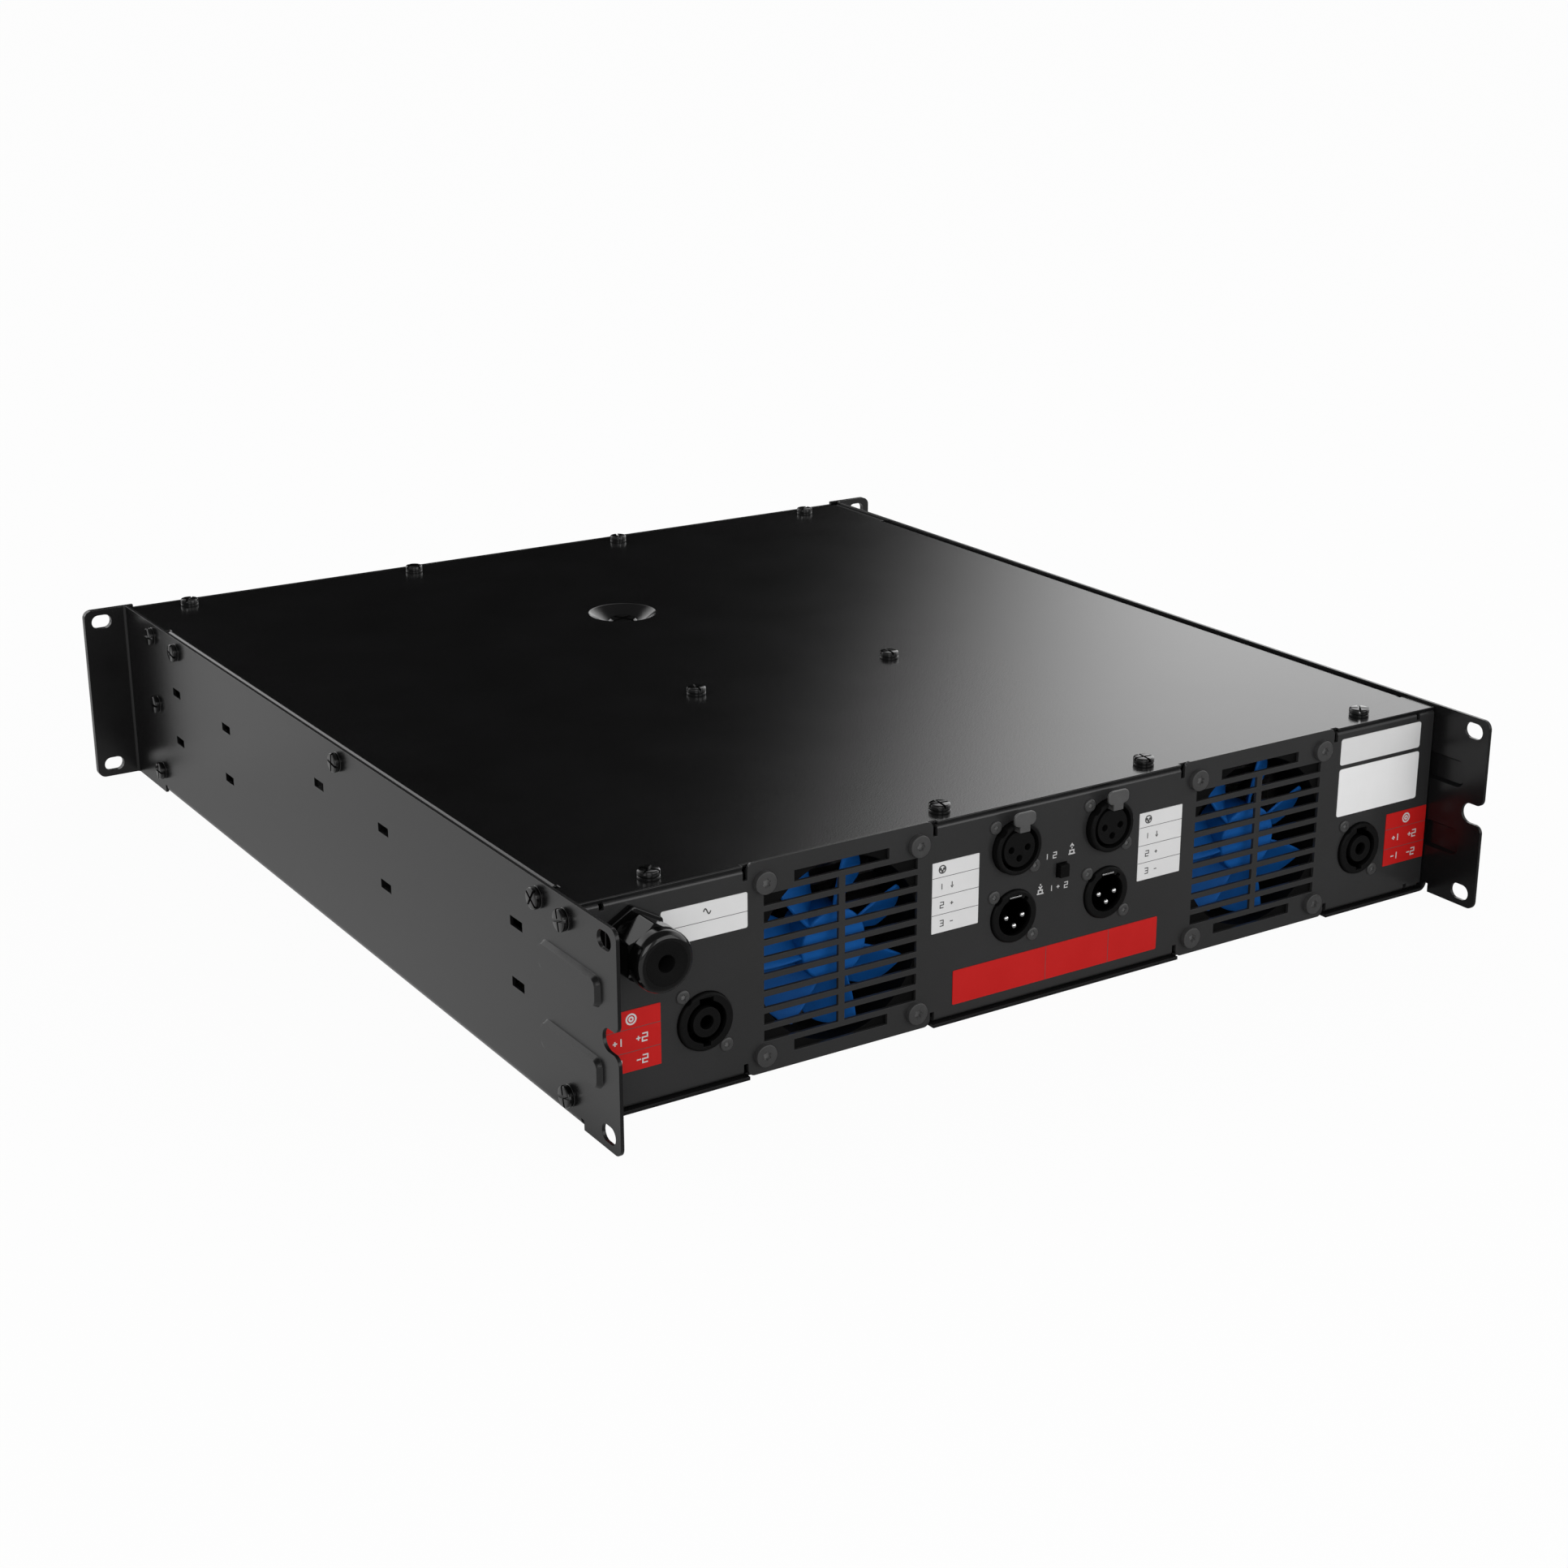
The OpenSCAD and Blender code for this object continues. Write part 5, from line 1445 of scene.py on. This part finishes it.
@dataclass
class Studio:
    """Floor, light and camera. An edge is the pair of values between which a soft step rises."""

    eye: Triple = (0.6088, 0.9806, 0.42735)
    aim: Triple = (-0.0081, 0.02316, 0.03582)
    roll: float = -0.036
    lens: float = 57.75
    sensor: float = 36.0
    shift: Pair = (-0.0020, -0.0086)
    lamps: tuple[Lamp, Lamp] = (Lamp("key_lamp", (1.1, 2.1, 0.95), 1.2, 11.4),
                                Lamp("fill_lamp", (-0.9, 2.2, 0.8), 1.6, 13.5))
    far_way: Pair = (-0.589, -0.808)
    far_edge: Pair = (-0.2, 0.35)
    high_edge: Pair = (0.45, 0.8)
    bright_level: float = 2.0
    dark_level: float = 0.005
    near_level: float = 0.6
    high_level: float = 0.15
    right_edge: Pair = (0.068, 0.222)
    right_slant: float = 0.4
    left_edge: Pair = (0.62, 0.74)
    left_slant: float = 0.8
    floor_grey: float = 0.9
    floor_white: float = 0.96
    floor_gloss: Pair = (0.455, 0.62)
    floor_fade: Pair = (-0.2, 0.12)
    floor_rear: float = 0.2
    floor_turn: Pair = (0.17, 0.23)
    floor_side: Pair = (0.2, 0.25)
    floor_half: float = 20.0

    def build(self) -> None:
        """Make the floor, the sky, the lamps and the camera."""
        self._floor()
        self._sky()
        for lamp in self.lamps:
            lamp.hang(Vector(self.aim))
        self._camera()
        bpy.context.scene.view_settings.view_transform = "Standard"

    def _floor(self) -> None:
        """Lay a white floor that takes a faint shadow and looks dark in what faces the rear."""
        side = 2 * self.floor_half
        mesh = bpy.data.meshes.new("floor")
        mesh.from_pydata([(x, y, 0) for x, y in box_outline(side, side)], [], [(0, 1, 2, 3)])
        material = bpy.data.materials.new("floor_white")
        material.use_nodes = True
        graph = Graph(material.node_tree)
        camera, glossy, through = graph.rays("Camera", "Glossy", "Transmission")
        x, y = graph.axes(graph.place(), "XY")
        behind = y.smooth(*self.floor_turn) * (1 - x.smooth(*self.floor_side))
        low, high = self.floor_gloss
        gloss = y.smooth(*self.floor_fade) * (high - low) + low
        mirrored = glossy * (behind * (1 - gloss) + gloss)
        seen = camera.math("MAXIMUM", mirrored).math("MAXIMUM", through)
        colour = graph.blend(glossy * behind, grey(1.0), grey(self.floor_rear))
        matt = graph.out("ShaderNodeBsdfDiffuse", {"Color": grey(self.floor_grey)})
        lit = graph.out("ShaderNodeEmission", {"Color": colour, "Strength": 1.0})
        mixed = graph.out("ShaderNodeMixShader", {0: seen * self.floor_white, 1: matt, 2: lit})
        graph.node("ShaderNodeOutputMaterial", {"Surface": mixed})
        mesh.materials.append(material)
        floor = in_scene("floor", mesh)

    def _sky(self) -> None:
        """Fill the room: white for the camera, soft light far right and far left, dark between."""
        world = bpy.data.worlds.new("studio")
        bpy.context.scene.world = world
        world.use_nodes = True
        graph = Graph(world.node_tree)
        way = graph.node("ShaderNodeTexCoord").outputs["Generated"]
        x, y, z = graph.axes(way, "XYZ")
        fx, fy = self.far_way
        far = (x * fx + y * fy).smooth(*self.far_edge)
        aside = x * fy + y * -fx
        right = (aside + z * self.right_slant).smooth(*self.right_edge)
        left = (z * self.left_slant - aside).smooth(*self.left_edge)
        back = (right + left) * (self.bright_level - self.dark_level) + self.dark_level
        room = far * back + (1 - far) * self.near_level
        high = z.smooth(*self.high_edge)
        room = high * self.high_level + (1 - high) * room
        camera, through = graph.rays("Camera", "Transmission")
        seen = camera.math("MAXIMUM", through)
        level = seen + (1 - seen) * room
        shader = graph.node("ShaderNodeBackground", {"Color": grey(1.0), "Strength": level})
        graph.node("ShaderNodeOutputWorld", {"Surface": shader.outputs[0]})

    def _camera(self) -> None:
        """Stand the camera where the photograph was taken from."""
        data = bpy.data.cameras.new("camera")
        data.lens = self.lens
        data.sensor_width = self.sensor
        data.shift_x, data.shift_y = self.shift
        camera = in_scene("camera", data)
        look = (Vector(self.aim) - Vector(self.eye)).to_track_quat("-Z", "Y").to_matrix().to_4x4()
        turn = look @ Matrix.Rotation(math.radians(self.roll), 4, "Z")
        camera.matrix_world = Matrix.Translation(self.eye) @ turn
        bpy.context.scene.camera = camera


def main() -> None:
    """Build every piece in order."""
    logging.basicConfig(level=logging.INFO, format="%(message)s")
    Studio().build()
    Casework().build()
    ring = RingPattern()
    for side in SIDES:
        Fan(side).build(ring)
    Connectors().build()
    Gland().build()
    Screws().build()
    Labels().build()
    FrontControls().build()
    dress_the_rest()


if __name__ == "__main__":
    main()
